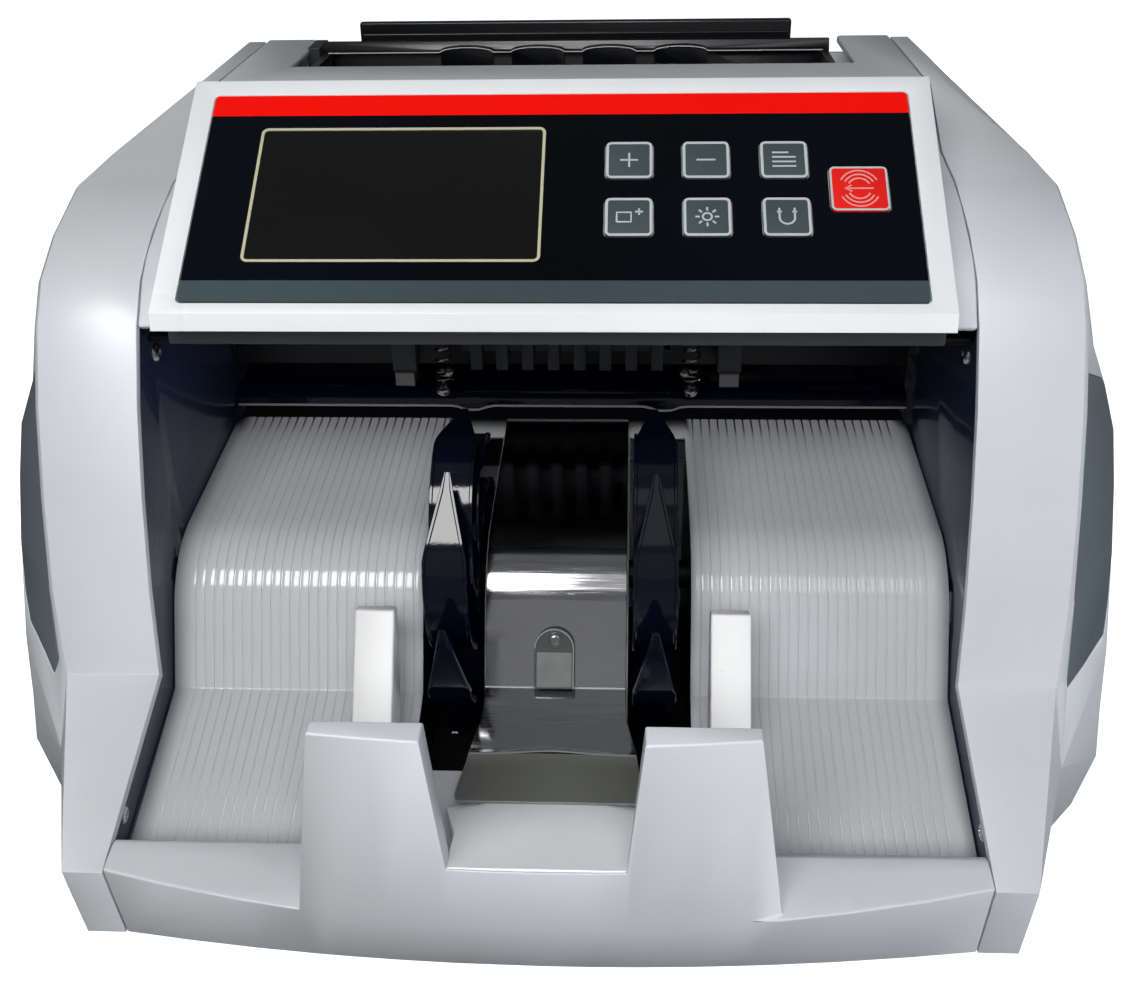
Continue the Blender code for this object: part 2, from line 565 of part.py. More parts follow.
def feed_drive():
    roller_shaft("exit_shaft", EXIT_AXIS, (-40.0, 40.0), 8.0, 14.0)
    roller_shaft("transport_shaft", TRANSPORT_AXIS, (-24.0, 24.0), 10.0, 16.0)
    roller_shaft("feed_shaft", FEED_AXIS, ROLLER_X, 14.0, 14.0)
    roller_shaft("pickup_shaft", PICKUP_AXIS, ROLLER_X, 9.0, 14.0)
    turned("main_motor", MOTOR_AXIS, [(56.0, 8.0), (58.0, 8.0), (58.0, 20.0), (106.0, 20.0),
                                      (106.0, 8.0), (108.0, 8.0)], COPPER, 32)
    turned("motor_pulley", MOTOR_AXIS,
           [(108.3, 2.5), (PULLEY_X0, 2.5), (PULLEY_X0, 11.0), (PULLEY_X0 + 1, 11.0),
            (PULLEY_X0 + 1, MOTOR_PULLEY_R), (PULLEY_X1 - 1, MOTOR_PULLEY_R), (PULLEY_X1 - 1, 11.0),
            (PULLEY_X1, 11.0)], DULL, 24)
    belt = prism("drive_belt", "X", belt_outline(2.0), PULLEY_X0 + 1.3, PULLEY_X1 - 1.3, RUBBER)
    cut(belt, prism("belt_inside", "X", belt_outline(0.4), PULLEY_X0, PULLEY_X1, RUBBER))
    box("transformer", (-92, -40), (78, 110), (FLOOR_Z + WALL + CLEAR, 50), COPPER)


def belt_outline(proud):
    """The line around both pulleys, a given distance outside them."""
    small, large = Vector(MOTOR_AXIS), Vector(WHEEL_AXIS)
    r_small, r_large = MOTOR_PULLEY_R + proud, STACKER_PULLEY_R + proud
    line = large - small
    lean = math.asin((r_small - r_large) / line.length)
    heading = math.atan2(line.y, line.x)
    outline = []
    for centre, radius, start, stop in (
            (small, r_small, heading + math.pi / 2 + lean, heading + 3 * math.pi / 2 - lean),
            (large, r_large, heading - math.pi / 2 - lean, heading + math.pi / 2 + lean)):
        for k in range(13):
            turn = start + (stop - start) * k / 12
            outline.append(tuple(centre + radius * Vector((math.cos(turn), math.sin(turn)))))
    return outline


def frame_plates():
    outline = [(-24.0, 9.0), (-24.0, 100.0), (0.0, 138.0), (131.0, 158.0), (131.0, 9.0)]
    for side, word in ((-1, "left"), (1, "right")):
        ends = sorted((side * FRAME_X0, side * FRAME_X1))
        plate = prism("frame_plate_" + word, "X", outline, *ends, ZINC)
        bores = [(WHEEL_AXIS, 4.6), (EXIT_AXIS, 3.6), (TRANSPORT_AXIS, 3.6), (FEED_AXIS, 3.6),
                 (PICKUP_AXIS, 3.6)]
        if side > 0:
            bores.append((MOTOR_AXIS, 4.0))
        for k, (axis, radius) in enumerate(bores):
            cut(plate, disc("frame_bore_%s_%d" % (word, k), axis, radius,
                            *sorted((side * 110, side * 118)), ZINC, 16))


TRAY_Y, TRAY_Z = (97.0, 118.0), (134.0, 172.0)
FEED_PLATE = [(131.4, 179.2), (129.0, 179.2), (127.8, 176.4), (122.4, 157.4), (125.0, 157.0)]
RELIEF_HALF, RELIEF_Z, RELIEF_RISE = 8.8, 176.3, 1.6  # bulge over each pick-up roller
GUIDE_X = (82.0, 84.6)
RAIL = (103.0, 158.0)


def hopper():
    tray = box("hopper_tray", (-88.8, 88.8), TRAY_Y, TRAY_Z, DULL)
    cut(tray, box("hopper_space", (-86.8, 86.8), (TRAY_Y[0] + 2, 130), (TRAY_Z[0] + 2, 190), DULL))
    for k, x in enumerate(ROLLER_X):
        cut(tray, box("roller_slot_%d" % k, (x - 8.2, x + 8.2), (90, 119), (130, 139), DULL))
    plate = prism("feed_plate", "X", FEED_PLATE, -85.5, 85.5, DULL)
    for k, x in enumerate(ROLLER_X):
        crown = [(x + RELIEF_HALF * math.cos(t), RELIEF_Z + RELIEF_RISE * math.sin(t))
                 for t in (math.pi * step / 10 for step in range(11))]
        relief = [(x + RELIEF_HALF, RELIEF_Z - 8.0)] + crown + [(x - RELIEF_HALF, RELIEF_Z - 8.0)]
        unite(plate, prism("roller_relief_%d" % k, "Y", relief, 125.4, 128.4, DULL))
    box("note_support", (-73.0, 73.0), (132.4, 135.6), (128.0, 185.0), DULL)
    turned("guide_rail", RAIL, [(-86.5, 2.0), (86.5, 2.0)], ZINC, 16)
    for side, word in ((-1, "left"), (1, "right")):
        ends = sorted((side * GUIDE_X[0], side * GUIDE_X[1]))
        outline = [(99.6, 140.0), (111.0, 140.0), (121.0, 158.0), (124.6, 172.0), (124.6, 176.5),
                   (99.6, 176.5)]
        guide = prism("hopper_guide_" + word, "X", outline, *ends, DULL, (side * GUIDE_X[0], *RAIL))
        cut(guide, disc("guide_bore_" + word, RAIL, 2.4, *sorted((side * 70, side * 95)), DULL, 16))


# ---- electrical ---------------------------------------------------------------------------------
def mains_module():
    module = box("power_inlet", (-77.5, -28.5), (113, REAR_Y - CLEAR), (24.5, 51.5), DULL)
    cut(module, box("inlet_socket", (-74, -52), (122, REAR_Y + 3), (29, 47), DULL))
    cut(module, box("switch_well", (-47.5, -32.5), (126, REAR_Y + 3), (28, 48), DULL))
    rocker = [(137.4, 30.0), (134.8, 38.0), (137.4, 46.0), (133.0, 46.6), (130.0, 38.0), (133.0, 29.4)]
    prism("power_switch", "X", rocker, -46.8, -33.2, DULL, (-40.0, 131.5, 38.0))


casing_sides()
base_tray()
top_cover()
rear_cover()
front_tray()
control_panel()
pocket_plates()
stacker()
exit_parts()
feed_drive()
frame_plates()
hopper()
mains_module()
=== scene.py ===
"""Looks of the banknote counting machine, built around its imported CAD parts.

Lengths are millimetres from the design datum, a point on the floor below the stacker pocket:
x to the machine's right as a user sees it, y to the rear, z up. `at` turns them into the frame's metres.
"""

import json
import math
import random

import bmesh
import bpy
from mathutils import Matrix, Vector


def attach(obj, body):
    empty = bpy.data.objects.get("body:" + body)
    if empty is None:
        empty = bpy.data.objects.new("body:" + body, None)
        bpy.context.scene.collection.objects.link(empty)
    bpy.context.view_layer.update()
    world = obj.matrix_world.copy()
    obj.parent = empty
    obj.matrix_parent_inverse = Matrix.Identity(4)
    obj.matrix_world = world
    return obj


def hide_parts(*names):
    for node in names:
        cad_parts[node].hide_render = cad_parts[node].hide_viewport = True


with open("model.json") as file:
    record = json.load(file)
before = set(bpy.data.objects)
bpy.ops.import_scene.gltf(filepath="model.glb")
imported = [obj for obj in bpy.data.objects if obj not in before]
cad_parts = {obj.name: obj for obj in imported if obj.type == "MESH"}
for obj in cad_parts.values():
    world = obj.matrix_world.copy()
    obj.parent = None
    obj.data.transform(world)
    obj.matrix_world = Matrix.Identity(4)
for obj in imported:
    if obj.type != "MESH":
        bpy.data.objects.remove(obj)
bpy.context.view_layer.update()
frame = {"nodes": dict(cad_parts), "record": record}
nodes = frame["nodes"]
body_of_node = {member: body for body, members in
                frame["record"]["behaviour"]["bodies"].items() for member in members}
slot_of_node = {part["node"]: part["material_slot"] for part in frame["record"]["subparts"]}
draw = random.Random(7)

MM = 0.001
DATUM_Y = -10.0             # the frame's origin is this far from the design datum
SLOPE = math.radians(33.3)  # control panel
PANEL_FOOT = (-33.0, 146.0)


def at(x, y, z):
    return Vector((x, y + DATUM_Y, z)) * MM


def on_panel(x, up, height=0.0):
    """A place on the control panel: across, up its slope, and above its face."""
    return at(x, PANEL_FOOT[0] + up * math.cos(SLOPE) - height * math.sin(SLOPE),
              PANEL_FOOT[1] + up * math.sin(SLOPE) + height * math.cos(SLOPE))


# ---- materials ----------------------------------------------------------------------------------
def add(tree, kind, inputs=None, **settings):
    """A shader node; an input is a number, a colour or another node's socket."""
    made = tree.nodes.new("ShaderNode" + kind)
    for key, value in settings.items():
        setattr(made, key, value)
    for key, value in (inputs or {}).items():
        if isinstance(value, bpy.types.NodeSocket):
            tree.links.new(value, made.inputs[key])
        else:
            made.inputs[key].default_value = value
    return made


def blend_colours(tree, factor, first, second):
    made = add(tree, "Mix", {0: factor}, data_type="RGBA")
    for key, value in ((6, first), (7, second)):
        if isinstance(value, bpy.types.NodeSocket):
            tree.links.new(value, made.inputs[key])
        else:
            made.inputs[key].default_value = (*value, 1.0)
    return made.outputs[2]


def noise(tree, place, scale, stretch=(1, 1, 1), detail=3.0):
    spread = add(tree, "Mapping", {"Vector": place, "Scale": stretch}).outputs[0]
    return add(tree, "TexNoise", {"Vector": spread, "Scale": scale, "Detail": detail}).outputs[0]


def ramp(tree, value, low, high, to_low=0.0, to_high=1.0):
    return add(tree, "MapRange", {"Value": value, "From Min": low, "From Max": high,
                                  "To Min": to_low, "To Max": to_high}).outputs[0]


def surface(name, colour, roughness, metallic=0.0, drift=0.05, drift_scale=18.0, spread=0.08,
            grain=1400.0, grain_depth=0.02, brushed=None, marks=None, **sockets):
    """A finish whose colour drifts slowly, whose gloss varies and whose surface has a fine grain.

    brushed stretches the grain along one axis; marks is (lightness, share) of fine scratches.
    """
    made = bpy.data.materials.new(name)
    made.use_nodes = True
    tree = made.node_tree
    shader = tree.nodes["Principled BSDF"]
    place = add(tree, "TexCoord").outputs["Object"]
    cloud = noise(tree, place, drift_scale)
    light = [min(1.0, part * (1 + drift)) for part in colour]
    dark = [part * (1 - drift) for part in colour]
    tone = blend_colours(tree, ramp(tree, cloud, 0.3, 0.7), dark, light)
    fine = noise(tree, place, grain, brushed or (1, 1, 1), 2.0)
    gloss = ramp(tree, cloud, 0.25, 0.75, roughness + spread / 2, max(0.02, roughness - spread / 2))
    if marks:
        lightness, share = marks
        lines = noise(tree, place, 60.0, (1.0, 14.0, 14.0), 4.0)
        scratch = ramp(tree, lines, 0.72 - share, 0.76 - share)
        tone = blend_colours(tree, scratch, tone, (lightness,) * 3)
        gloss = add(tree, "Math", {0: gloss, 1: ramp(tree, scratch, 0.0, 1.0, 0.0, 0.15)}).outputs[0]
    if brushed:
        sheen = ramp(tree, fine, 0.3, 0.7, -0.06, 0.06)
        gloss = add(tree, "Math", {0: gloss, 1: sheen}).outputs[0]
    bump = add(tree, "Bump", {"Height": fine, "Strength": 0.6, "Distance": grain_depth * MM})
    tree.links.new(tone, shader.inputs["Base Color"])
    tree.links.new(gloss, shader.inputs["Roughness"])
    tree.links.new(bump.outputs[0], shader.inputs["Normal"])
    shader.inputs["Metallic"].default_value = metallic
    for key, value in sockets.items():
        shader.inputs[key.replace("_", " ")].default_value = value
    return made


# painted light: a paler copy of the housing grey that brightens the tray's tongue, which faces away from
# the key light
TONGUE_LIGHT = surface("tongue_painted_light", (0.90, 0.92, 0.95), 0.45, grain_depth=0.03, Specular_IOR_Level=0.2)
HOUSING = surface("housing_grey", (0.61, 0.632, 0.665), 0.36, grain_depth=0.03)
BEZEL = surface("bezel_white", (0.82, 0.845, 0.86), 0.30)
GRIP = surface("grip_slate", (0.11, 0.135, 0.155), 0.46, grain=2200.0, grain_depth=0.05)
NAVY = surface("inner_navy", (0.017, 0.023, 0.050), 0.12, brushed=(12, 1, 1), grain=260.0,
               grain_depth=0.01)
RIBBED = surface("ribbed_grey", (0.52, 0.53, 0.56), 0.10, spread=0.03, drift=0.03)
STEEL = surface("brushed_stainless", (0.58, 0.58, 0.59), 0.10, 1.0, drift=0.08, spread=0.04,
                brushed=(0.02, 1, 1), grain=2600.0, grain_depth=0.005, marks=(0.75, 0.02))
# painted reflection: a rougher, half-metal copy of the stainless whose grey stands in for what the flap
# mirrors
FLAP_REFLECTION = surface("flap_painted_reflection", (0.20, 0.208, 0.196), 0.34, 0.42, drift=0.02,
                     grain=2600.0, grain_depth=0.004)
ZINC = surface("zinc_plate", (0.45, 0.46, 0.47), 0.38, 1.0, drift=0.12)
CHROME = surface("screw_plating", (0.62, 0.62, 0.60), 0.2, 1.0, drift=0.15)
BLACK = surface("black_gloss", (0.0016, 0.0025, 0.0075), 0.09, drift=0.3, spread=0.04)
DULL = surface("black_plastic", (0.006, 0.0062, 0.008), 0.40, drift=0.3, grain_depth=0.04)
# painted shade: a grey darkened to stand in for the shade on the visor, which faces down under the panel
VISOR_SHADE = surface("visor_painted_shade", (0.046, 0.047, 0.049), 0.5)
# painted shade: a near-black grey for parts that lie in shade, the posts and comb under the hood and a
# box on the hopper opening's wall
SHADE_GREY = surface("painted_shade_grey", (0.024, 0.026, 0.031), 0.45)
# painted shade: the posts' white pads in a mid grey, standing in for the shade under the hood
PAD_SHADE = surface("pad_painted_shade", (0.11, 0.11, 0.11), 0.5)
# painted highlights: light greys for thin strips that stand in for glints along creases, lips and rims
HIGHLIGHT_GREY = surface("painted_highlight_grey", (0.22, 0.22, 0.24), 0.35)
HIGHLIGHT_LIGHT = surface("painted_highlight_light", (0.48, 0.49, 0.50), 0.35)
# painted shade: a steel darkened to near black, standing in for the shade the stacker shaft lies in
SHAFT_SHADE = surface("blackened_steel", (0.02, 0.02, 0.022), 0.45, 1.0)
FILM = surface("panel_black", (0.0014, 0.002, 0.0045), 0.10, drift=0.5, drift_scale=9.0, spread=0.12,
               Specular_IOR_Level=0.22)
BAND_RED = surface("panel_red", (0.97, 0.005, 0.001), 0.2, drift=0.03, drift_scale=9.0,
                   Specular_IOR_Level=0.2)
BAND_GREY = surface("panel_slate", (0.052, 0.075, 0.088), 0.22, drift=0.12, drift_scale=9.0)
SCREEN = surface("display_window", (0.0055, 0.0055, 0.0055), 0.12, drift=0.1,
                 Specular_IOR_Level=0.35)
CREAM = surface("display_frame", (0.55, 0.53, 0.36), 0.4)
KEY = surface("key_slate", (0.058, 0.078, 0.085), 0.3, drift=0.1)
RED = surface("key_red", (0.80, 0.012, 0.008), 0.28)
INK = surface("key_ink", (0.52, 0.56, 0.57), 0.4)
PINK = surface("reset_ink", (0.78, 0.33, 0.30), 0.4)
DEEP_BLACK = surface("hopper_black", (0.0022, 0.0026, 0.0036), 0.28, drift=0.3)
RUBBER = surface("rubber", (0.018, 0.018, 0.018), 0.75, grain=1800.0, grain_depth=0.08)
BOARD = surface("board_green", (0.01, 0.12, 0.05), 0.5)
WHITE = surface("white_plastic", (0.78, 0.78, 0.79), 0.42, marks=(0.5, 0.03))
MILKY = surface("milky_insert", (0.40, 0.42, 0.40), 0.35, drift=0.14, drift_scale=160.0)
MOTOR = surface("motor_metal", (0.28, 0.28, 0.30), 0.35, 1.0)
BRASS = surface("inlet_brass", (0.65, 0.52, 0.28), 0.3, 1.0)
CLEAR = surface("clear_cover", (0.10, 0.11, 0.11), 0.06, Alpha=0.45, IOR=1.49)

FINISH = {"housing": HOUSING, "bezel": BEZEL, "grip": GRIP, "navy": NAVY, "ribbed": RIBBED,
          "stainless": STEEL, "zinc": ZINC, "black_gloss": BLACK, "black_plastic": DULL,
          "film": FILM, "screen": SCREEN, "key_grey": KEY, "key_red": RED, "clear": CLEAR,
          "rubber": RUBBER, "board": BOARD, "white_plastic": WHITE, "motor_metal": MOTOR}


# ---- building tools -----------------------------------------------------------------------------
def piece(name, mesh, body, slot, finish, replaced=()):
    """A visible piece that moves with a CAD body."""
    made = bpy.data.objects.new(name, mesh)
    bpy.context.scene.collection.objects.link(made)
    if finish is not None:
        mesh.materials.clear()
        mesh.materials.append(finish)
    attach(made, body)
    if replaced:
        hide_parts(*replaced)
    return made


def mesh_of(name, points, faces, sharp=35.0):
    """A mesh in metres, its faces outward, smooth below the given angle."""
    mesh = bpy.data.meshes.new(name)
    mesh.from_pydata([tuple(p) for p in points], [], faces)
    work = bmesh.new()
    work.from_mesh(mesh)
    bmesh.ops.recalc_face_normals(work, faces=work.faces)
    work.to_mesh(mesh)
    work.free()
    mesh.shade_smooth()
    mesh.set_sharp_from_angle(angle=math.radians(sharp))
    return mesh


def join(name, parts, sharp=35.0):
    """One mesh from several (points, faces) pairs."""
    points, faces = [], []
    for some_points, some_faces in parts:
        start = len(points)
        points += some_points
        faces += [tuple(start + i for i in face) for face in some_faces]
    return mesh_of(name, points, faces, sharp)


def loft_parts(sections, closed=False):
    """Points and faces through sections that all have the same number of points."""
    count, rows = len(sections[0]), len(sections)
    points = [p for section in sections for p in section]
    faces = []
    for s in range(rows if closed else rows - 1):
        a, b = s * count, (s + 1) % rows * count
        faces += [(a + i, a + (i + 1) % count, b + (i + 1) % count, b + i) for i in range(count)]
    if not closed:
        faces += [tuple(range(count)), tuple(range(len(points) - 1, len(points) - count - 1, -1))]
    return points, faces


def soften(made, width, segments=2, angle=30.0):
    """Rounded edges, and flat faces that still shade flat."""
    step = made.modifiers.new("edges", "BEVEL")
    step.width = width * MM
    step.segments = segments
    step.limit_method = "ANGLE"
    step.angle_limit = math.radians(angle)
    step.harden_normals = True
    return made


def refined(node, width, segments=2, angle=30.0, finish=None):
    """A copy of a CAD node with the edge radii of the moulded or pressed part."""
    mesh = nodes[node].data.copy()
    work = bmesh.new()
    work.from_mesh(mesh)
    bmesh.ops.remove_doubles(work, verts=work.verts, dist=0.002 * MM)
    bmesh.ops.dissolve_limit(work, angle_limit=math.radians(0.8), verts=work.verts,
                             edges=work.edges)
    work.to_mesh(mesh)
    work.free()
    mesh.shade_smooth()
    slot = slot_of_node[node]
    made = piece(node + "_shell", mesh, body_of_node[node], slot, finish or FINISH[slot], [node])
    return soften(made, width, segments, angle)


def ring_points(count, radius, height, centre=(0.0, 0.0)):
    return [(centre[0] + radius * math.cos(2 * math.pi * k / count),
             centre[1] + radius * math.sin(2 * math.pi * k / count), height) for k in range(count)]


def rounded_box(width, height, radius, steps=5):
    """The outline of a rounded rectangle centred on the origin."""
    outline = []
    for quarter, (sx, sy) in enumerate(((1, 1), (-1, 1), (-1, -1), (1, -1))):
        for k in range(steps + 1):
            turn = math.pi / 2 * (quarter + k / steps)
            outline.append((sx * (width / 2 - radius) + radius * math.cos(turn),
                            sy * (height / 2 - radius) + radius * math.sin(turn)))
    return outline


def frame_ring(width, height, radius, line, place, low, high):
    """A raised rounded frame line; place turns (a, b, height) into metres."""
    outer = rounded_box(width, height, radius)
    inner = rounded_box(width - 2 * line, height - 2 * line, max(0.2, radius - line))
    section = ((outer, low), (outer, high), (inner, high), (inner, low))
    sections = [[place(*ring[k], level) for ring, level in section] for k in range(len(outer))]
    return loft_parts(sections, closed=True)


def stroke(path, line, place, low, high):
    """A printed or raised line of even width along a path."""
    sections = []
    for k, here in enumerate(path):
        before, after = Vector(path[max(k - 1, 0)]), Vector(path[min(k + 1, len(path) - 1)])
        along = (after - before).normalized()
        side = Vector((-along.y, along.x)) * line / 2
        a, b = Vector(here) + side, Vector(here) - side
        sections.append([place(*a, low), place(*a, high), place(*b, high), place(*b, low)])
    return loft_parts(sections)


def arc(radius, start, stop, centre=(0.0, 0.0), steps=14):
    turns = [math.radians(start + (stop - start) * k / steps) for k in range(steps + 1)]
    return [(centre[0] + radius * math.cos(t), centre[1] + radius * math.sin(t)) for t in turns]


LEAD = 0.6   # mm of straight before and after a bend, which keeps the flats beside it flat


def fillet(path, radii, steps=14):
    """The path with its inner corners rounded."""
    smooth = [Vector(path[0])]
    for before, here, after, radius in zip(path, path[1:], path[2:], radii):
        p = Vector(here)
        a, b = (Vector(before) - p).normalized(), (Vector(after) - p).normalized()
        half = a.angle(b) / 2
        reach = radius / math.tan(half)
        middle = p + (a + b).normalized() * (radius / math.sin(half))
        first, last = p + a * reach - middle, p + b * reach - middle
        swing = first.angle_signed(last)
        smooth.append(p + a * (reach + LEAD))
        for k in range(steps + 1):
            smooth.append(middle + Matrix.Rotation(-swing * k / steps, 2) @ first)
        smooth.append(p + b * (reach + LEAD))
    smooth.append(Vector(path[-1]))
    return [tuple(p) for p in smooth]


def side_words():
    return ((-1, "left"), (1, "right"))


# ---- casing -------------------------------------------------------------------------------------
def casing():
    for _, word in side_words():
        refined("side_cover_" + word, 1.1, 3)
        refined("side_grip_" + word, 0.6, 2)
    refined("front_tray", 1.3, 3)
    refined("top_cover", 0.7, 2)
    refined("rear_cover", 0.5, 2)
    # the visor is drawn in a darkened grey, painted shade under the panel's front edge
    refined("pocket_visor", 0.4, 2, finish=VISOR_SHADE)
    refined("panel_bezel", 1.5, 3, 40.0)
    for corner in ("front_left", "front_right", "rear_left", "rear_right"):
        refined("rubber_foot_" + corner, 1.2, 3)


TRAY_BACK_Y = -95.0
# Tray tongue: y, height of its flat middle, half widths of the middle and of the whole, outer height.
TONGUE = ((-118.2, 47.9, 20.0, 20.5, 47.9), (-97.5, 39.1, 17.6, 21.6, 38.3),
          (-77.6, 30.8, 14.5, 26.6, 27.6))


def tray_tongue():
    """The tray's middle runs down and under the flap, its sides falling away toward the rear."""
    sections = []
    for y, top, middle, outer, edge in TONGUE:
        foot = min(edge - 2.0, 24.0) if y > TRAY_BACK_Y else edge - 7.0
        sections.append([at(x, y, z) for x, z in
                         ((-outer, foot), (-outer, edge), (-middle, top), (middle, top), (outer, edge),
                          (outer, foot))])
    # the tongue is drawn paler than the tray around it, painted light in the dip
    soften(piece("tray_tongue", join("tray_tongue", [loft_parts(sections)], 20.0), "machine", "housing",
                 TONGUE_LIGHT), 0.4)


def screw_mesh(name, radius, dome, recess):
    """A pan head with a cross recess, its axis along Z, in millimetres turned into metres."""
    sides, rings = 28, 6
    points, faces = [], []
    for k in range(rings):
        lift = k / rings
        points += ring_points(sides, radius * math.cos(lift * math.pi / 2) ** 0.6,
                              dome * math.sin(lift * math.pi / 2))
    base = len(points)
    points += ring_points(sides, radius * 0.96, -0.6)
    points += [(0, 0, dome), (0, 0, -0.6)]
    for k in range(rings - 1):
        a, b = k * sides, (k + 1) * sides
        faces += [(a + i, a + (i + 1) % sides, b + (i + 1) % sides, b + i) for i in range(sides)]
    for i in range(sides):
        j = (i + 1) % sides
        faces += [((rings - 1) * sides + i, (rings - 1) * sides + j, base + sides),
                  (base + i, j, i), (base + i, base + j, j), (base + i, base + sides + 1, base + j)]
    head = bpy.data.objects.new(name, mesh_of(name, [Vector(p) * MM for p in points], faces, 50.0))
    arm, wide, deep = recess, recess * 0.32, dome * 0.35
    cross = [(arm, wide), (wide, wide), (wide, arm), (-wide, arm), (-wide, wide), (-arm, wide),
             (-arm, -wide), (-wide, -wide), (-wide, -arm), (wide, -arm), (wide, -wide), (arm, -wide)]
    tool = bpy.data.objects.new(name + "_cross", mesh_of(name + "_cross", *loft_parts(
        [[Vector((a * taper, b * taper, level)) * MM for a, b in cross]
         for level, taper in ((deep, 0.6), (dome * 2, 1.1))])))
    for made in (head, tool):
        bpy.context.scene.collection.objects.link(made)
    step = head.modifiers.new("recess", "BOOLEAN")
    step.operation, step.object = "DIFFERENCE", tool
    bpy.context.view_layer.update()
    mesh = bpy.data.meshes.new_from_object(head.evaluated_get(bpy.context.evaluated_depsgraph_get()))
    for made in (head, tool):
        bpy.data.objects.remove(made)
    mesh.name = name
    mesh.shade_smooth()
    mesh.set_sharp_from_angle(angle=math.radians(40))
    return mesh


SCREW = screw_mesh("pan_head", 2.6, 1.3, 1.5)


def screw(name, place, facing, body="machine", size=1.0, finish=None):
    """A screw head at a place, its axis along facing."""
    turn = Vector((0, 0, 1)).rotation_difference(Vector(facing)).to_matrix().to_4x4()
    spin = Matrix.Rotation(draw.uniform(0, math.pi / 2), 4, "Z")
    mesh = SCREW.copy()
    mesh.transform(Matrix.Translation(place) @ turn @ spin @ Matrix.Scale(size, 4))
    return piece(name, mesh, body, "zinc", finish or CHROME)


# ---- control panel ------------------------------------------------------------------------------
BAND_LOW, BAND_HIGH = 9.8, 63.4   # the grey band ends and the red band starts, up the panel
WINDOW = (-77.4, -3.0, 15.9, 58.6)   # left, right, lower and upper edge
FRAME_MARGIN, FRAME_CORNER, FRAME_LINE = 0.9, 1.8, 0.75
KEY_CENTRES = {"plus": (19.3, 47.6), "minus": (39.0, 47.6), "batch": (58.9, 47.6),
               "add": (19.3, 29.2), "uv": (39.0, 29.2), "magnetic": (58.9, 29.2)}
RESET_CENTRE = (77.4, 38.1)
KEY_SIZE, RESET_SIZE, KEY_CORNER = (11.9, 11.9), (14.6, 14.0), 1.4
KEY_TOP, PRINT_SUNK, OUTLINE_PROUD, SYMBOL_PROUD = 0.30, 0.1, 0.06, 0.05


def panel_film():
    """The printed film: its grey and red bands are parts of one surface."""
    film = refined("panel_film", 0.12, 2)
    film.modifiers.clear()
    up = Vector((0, math.cos(SLOPE), math.sin(SLOPE)))
    work = bmesh.new()
    work.from_mesh(film.data)
    for level in (BAND_LOW, BAND_HIGH):
        everything = work.verts[:] + work.edges[:] + work.faces[:]
        bmesh.ops.bisect_plane(work, geom=everything, plane_co=on_panel(0, level), plane_no=up)
    for face in work.faces:
        height = (face.calc_center_median() - on_panel(0, 0)).dot(up) / MM
        face.material_index = 1 if height < BAND_LOW else 2 if height > BAND_HIGH else 0
    work.to_mesh(film.data)
    work.free()
    film.data.set_sharp_from_angle(angle=math.radians(30))
    for finish in (BAND_GREY, BAND_RED):
        film.data.materials.append(finish)


def symbol(name):
    """The strokes of a key's pictogram, in mm around the key's centre."""
    if name == "plus":
        return [[(-2.3, 0), (2.3, 0)], [(0, -2.3), (0, 2.3)]]
    if name == "minus":
        return [[(-2.4, 0), (2.4, 0)]]
    if name == "batch":
        return [[(-3, level), (3, level)] for level in (-2.2, -0.7, 0.8)] + [[(-3, 2.3), (1.2, 2.3)]]
    if name == "add":
        return [[(-3, -1.6), (0.6, -1.6), (0.6, 1.4), (-3, 1.4), (-3, -1.6)],
                [(1.6, 1.6), (3.6, 1.6)], [(2.6, 0.6), (2.6, 2.6)]]
    if name == "uv":
        rays = [[(1.9 * math.cos(t), 1.9 * math.sin(t)), (3.0 * math.cos(t), 3.0 * math.sin(t))]
                for t in (math.pi / 4 * k for k in range(8))]
        return [arc(1.15, 0, 360)] + rays
    if name == "magnetic":
        return [[(-1.9, 2.7)] + [(x, y - 0.4) for x, y in arc(1.9, 180, 360)] + [(1.9, 2.7)],
                [(-2.5, 1.5), (-1.3, 1.5)], [(1.3, 1.5), (2.5, 1.5)]]
    rings = [arc(radius, start, start + 2 * lean, steps=18) for radius in (2.9, 4.0, 5.1)
             for start, lean in ((90 - 62, 62), (270 - 62, 62))]
    return [[(x, y * 1.12) for x, y in ring] for ring in rings] + \
        [[(-3.6, 0), (3.6, 0)], [(-1.9, 1.0), (-3.6, 0), (-1.9, -1.0)]]


def keys():
    """Each key's cap with a printed outline and pictogram that move with it."""
    low = KEY_TOP - PRINT_SUNK
    for name, centre in dict(KEY_CENTRES, reset=RESET_CENTRE).items():
        node = "key_" + name
        body, slot = body_of_node[node], slot_of_node[node]
        size, border, line, ink = (RESET_SIZE, 0.55, 0.42, PINK) if name == "reset" else \
            (KEY_SIZE, 0.7, 0.5, INK)
        refined(node, 0.15, 2)

        def place(a, b, height, centre=centre):
            return on_panel(centre[0] + a, centre[1] + b, height)

        outline = frame_ring(*size, KEY_CORNER, border, place, low, KEY_TOP + OUTLINE_PROUD)
        piece(node + "_outline", join(node + "_outline", [outline]), body, slot, INK)
        strokes = [stroke(path, line, place, low, KEY_TOP + SYMBOL_PROUD) for path in symbol(name)]
        piece(node + "_symbol", join(node + "_symbol", strokes), body, slot, ink)


def display():
    x0, x1, low, high = WINDOW
    middle = ((x0 + x1) / 2, (low + high) / 2)

    def place(a, b, height):
        return on_panel(middle[0] + a, middle[1] + b, height)

    refined("display_window", 0.2, 2)
    ring = frame_ring(x1 - x0 + FRAME_MARGIN, high - low + FRAME_MARGIN, FRAME_CORNER, FRAME_LINE,
                      place, -0.3, 0.1)
    piece("display_frame", join("display_frame", [ring]), "machine", "film", CREAM)


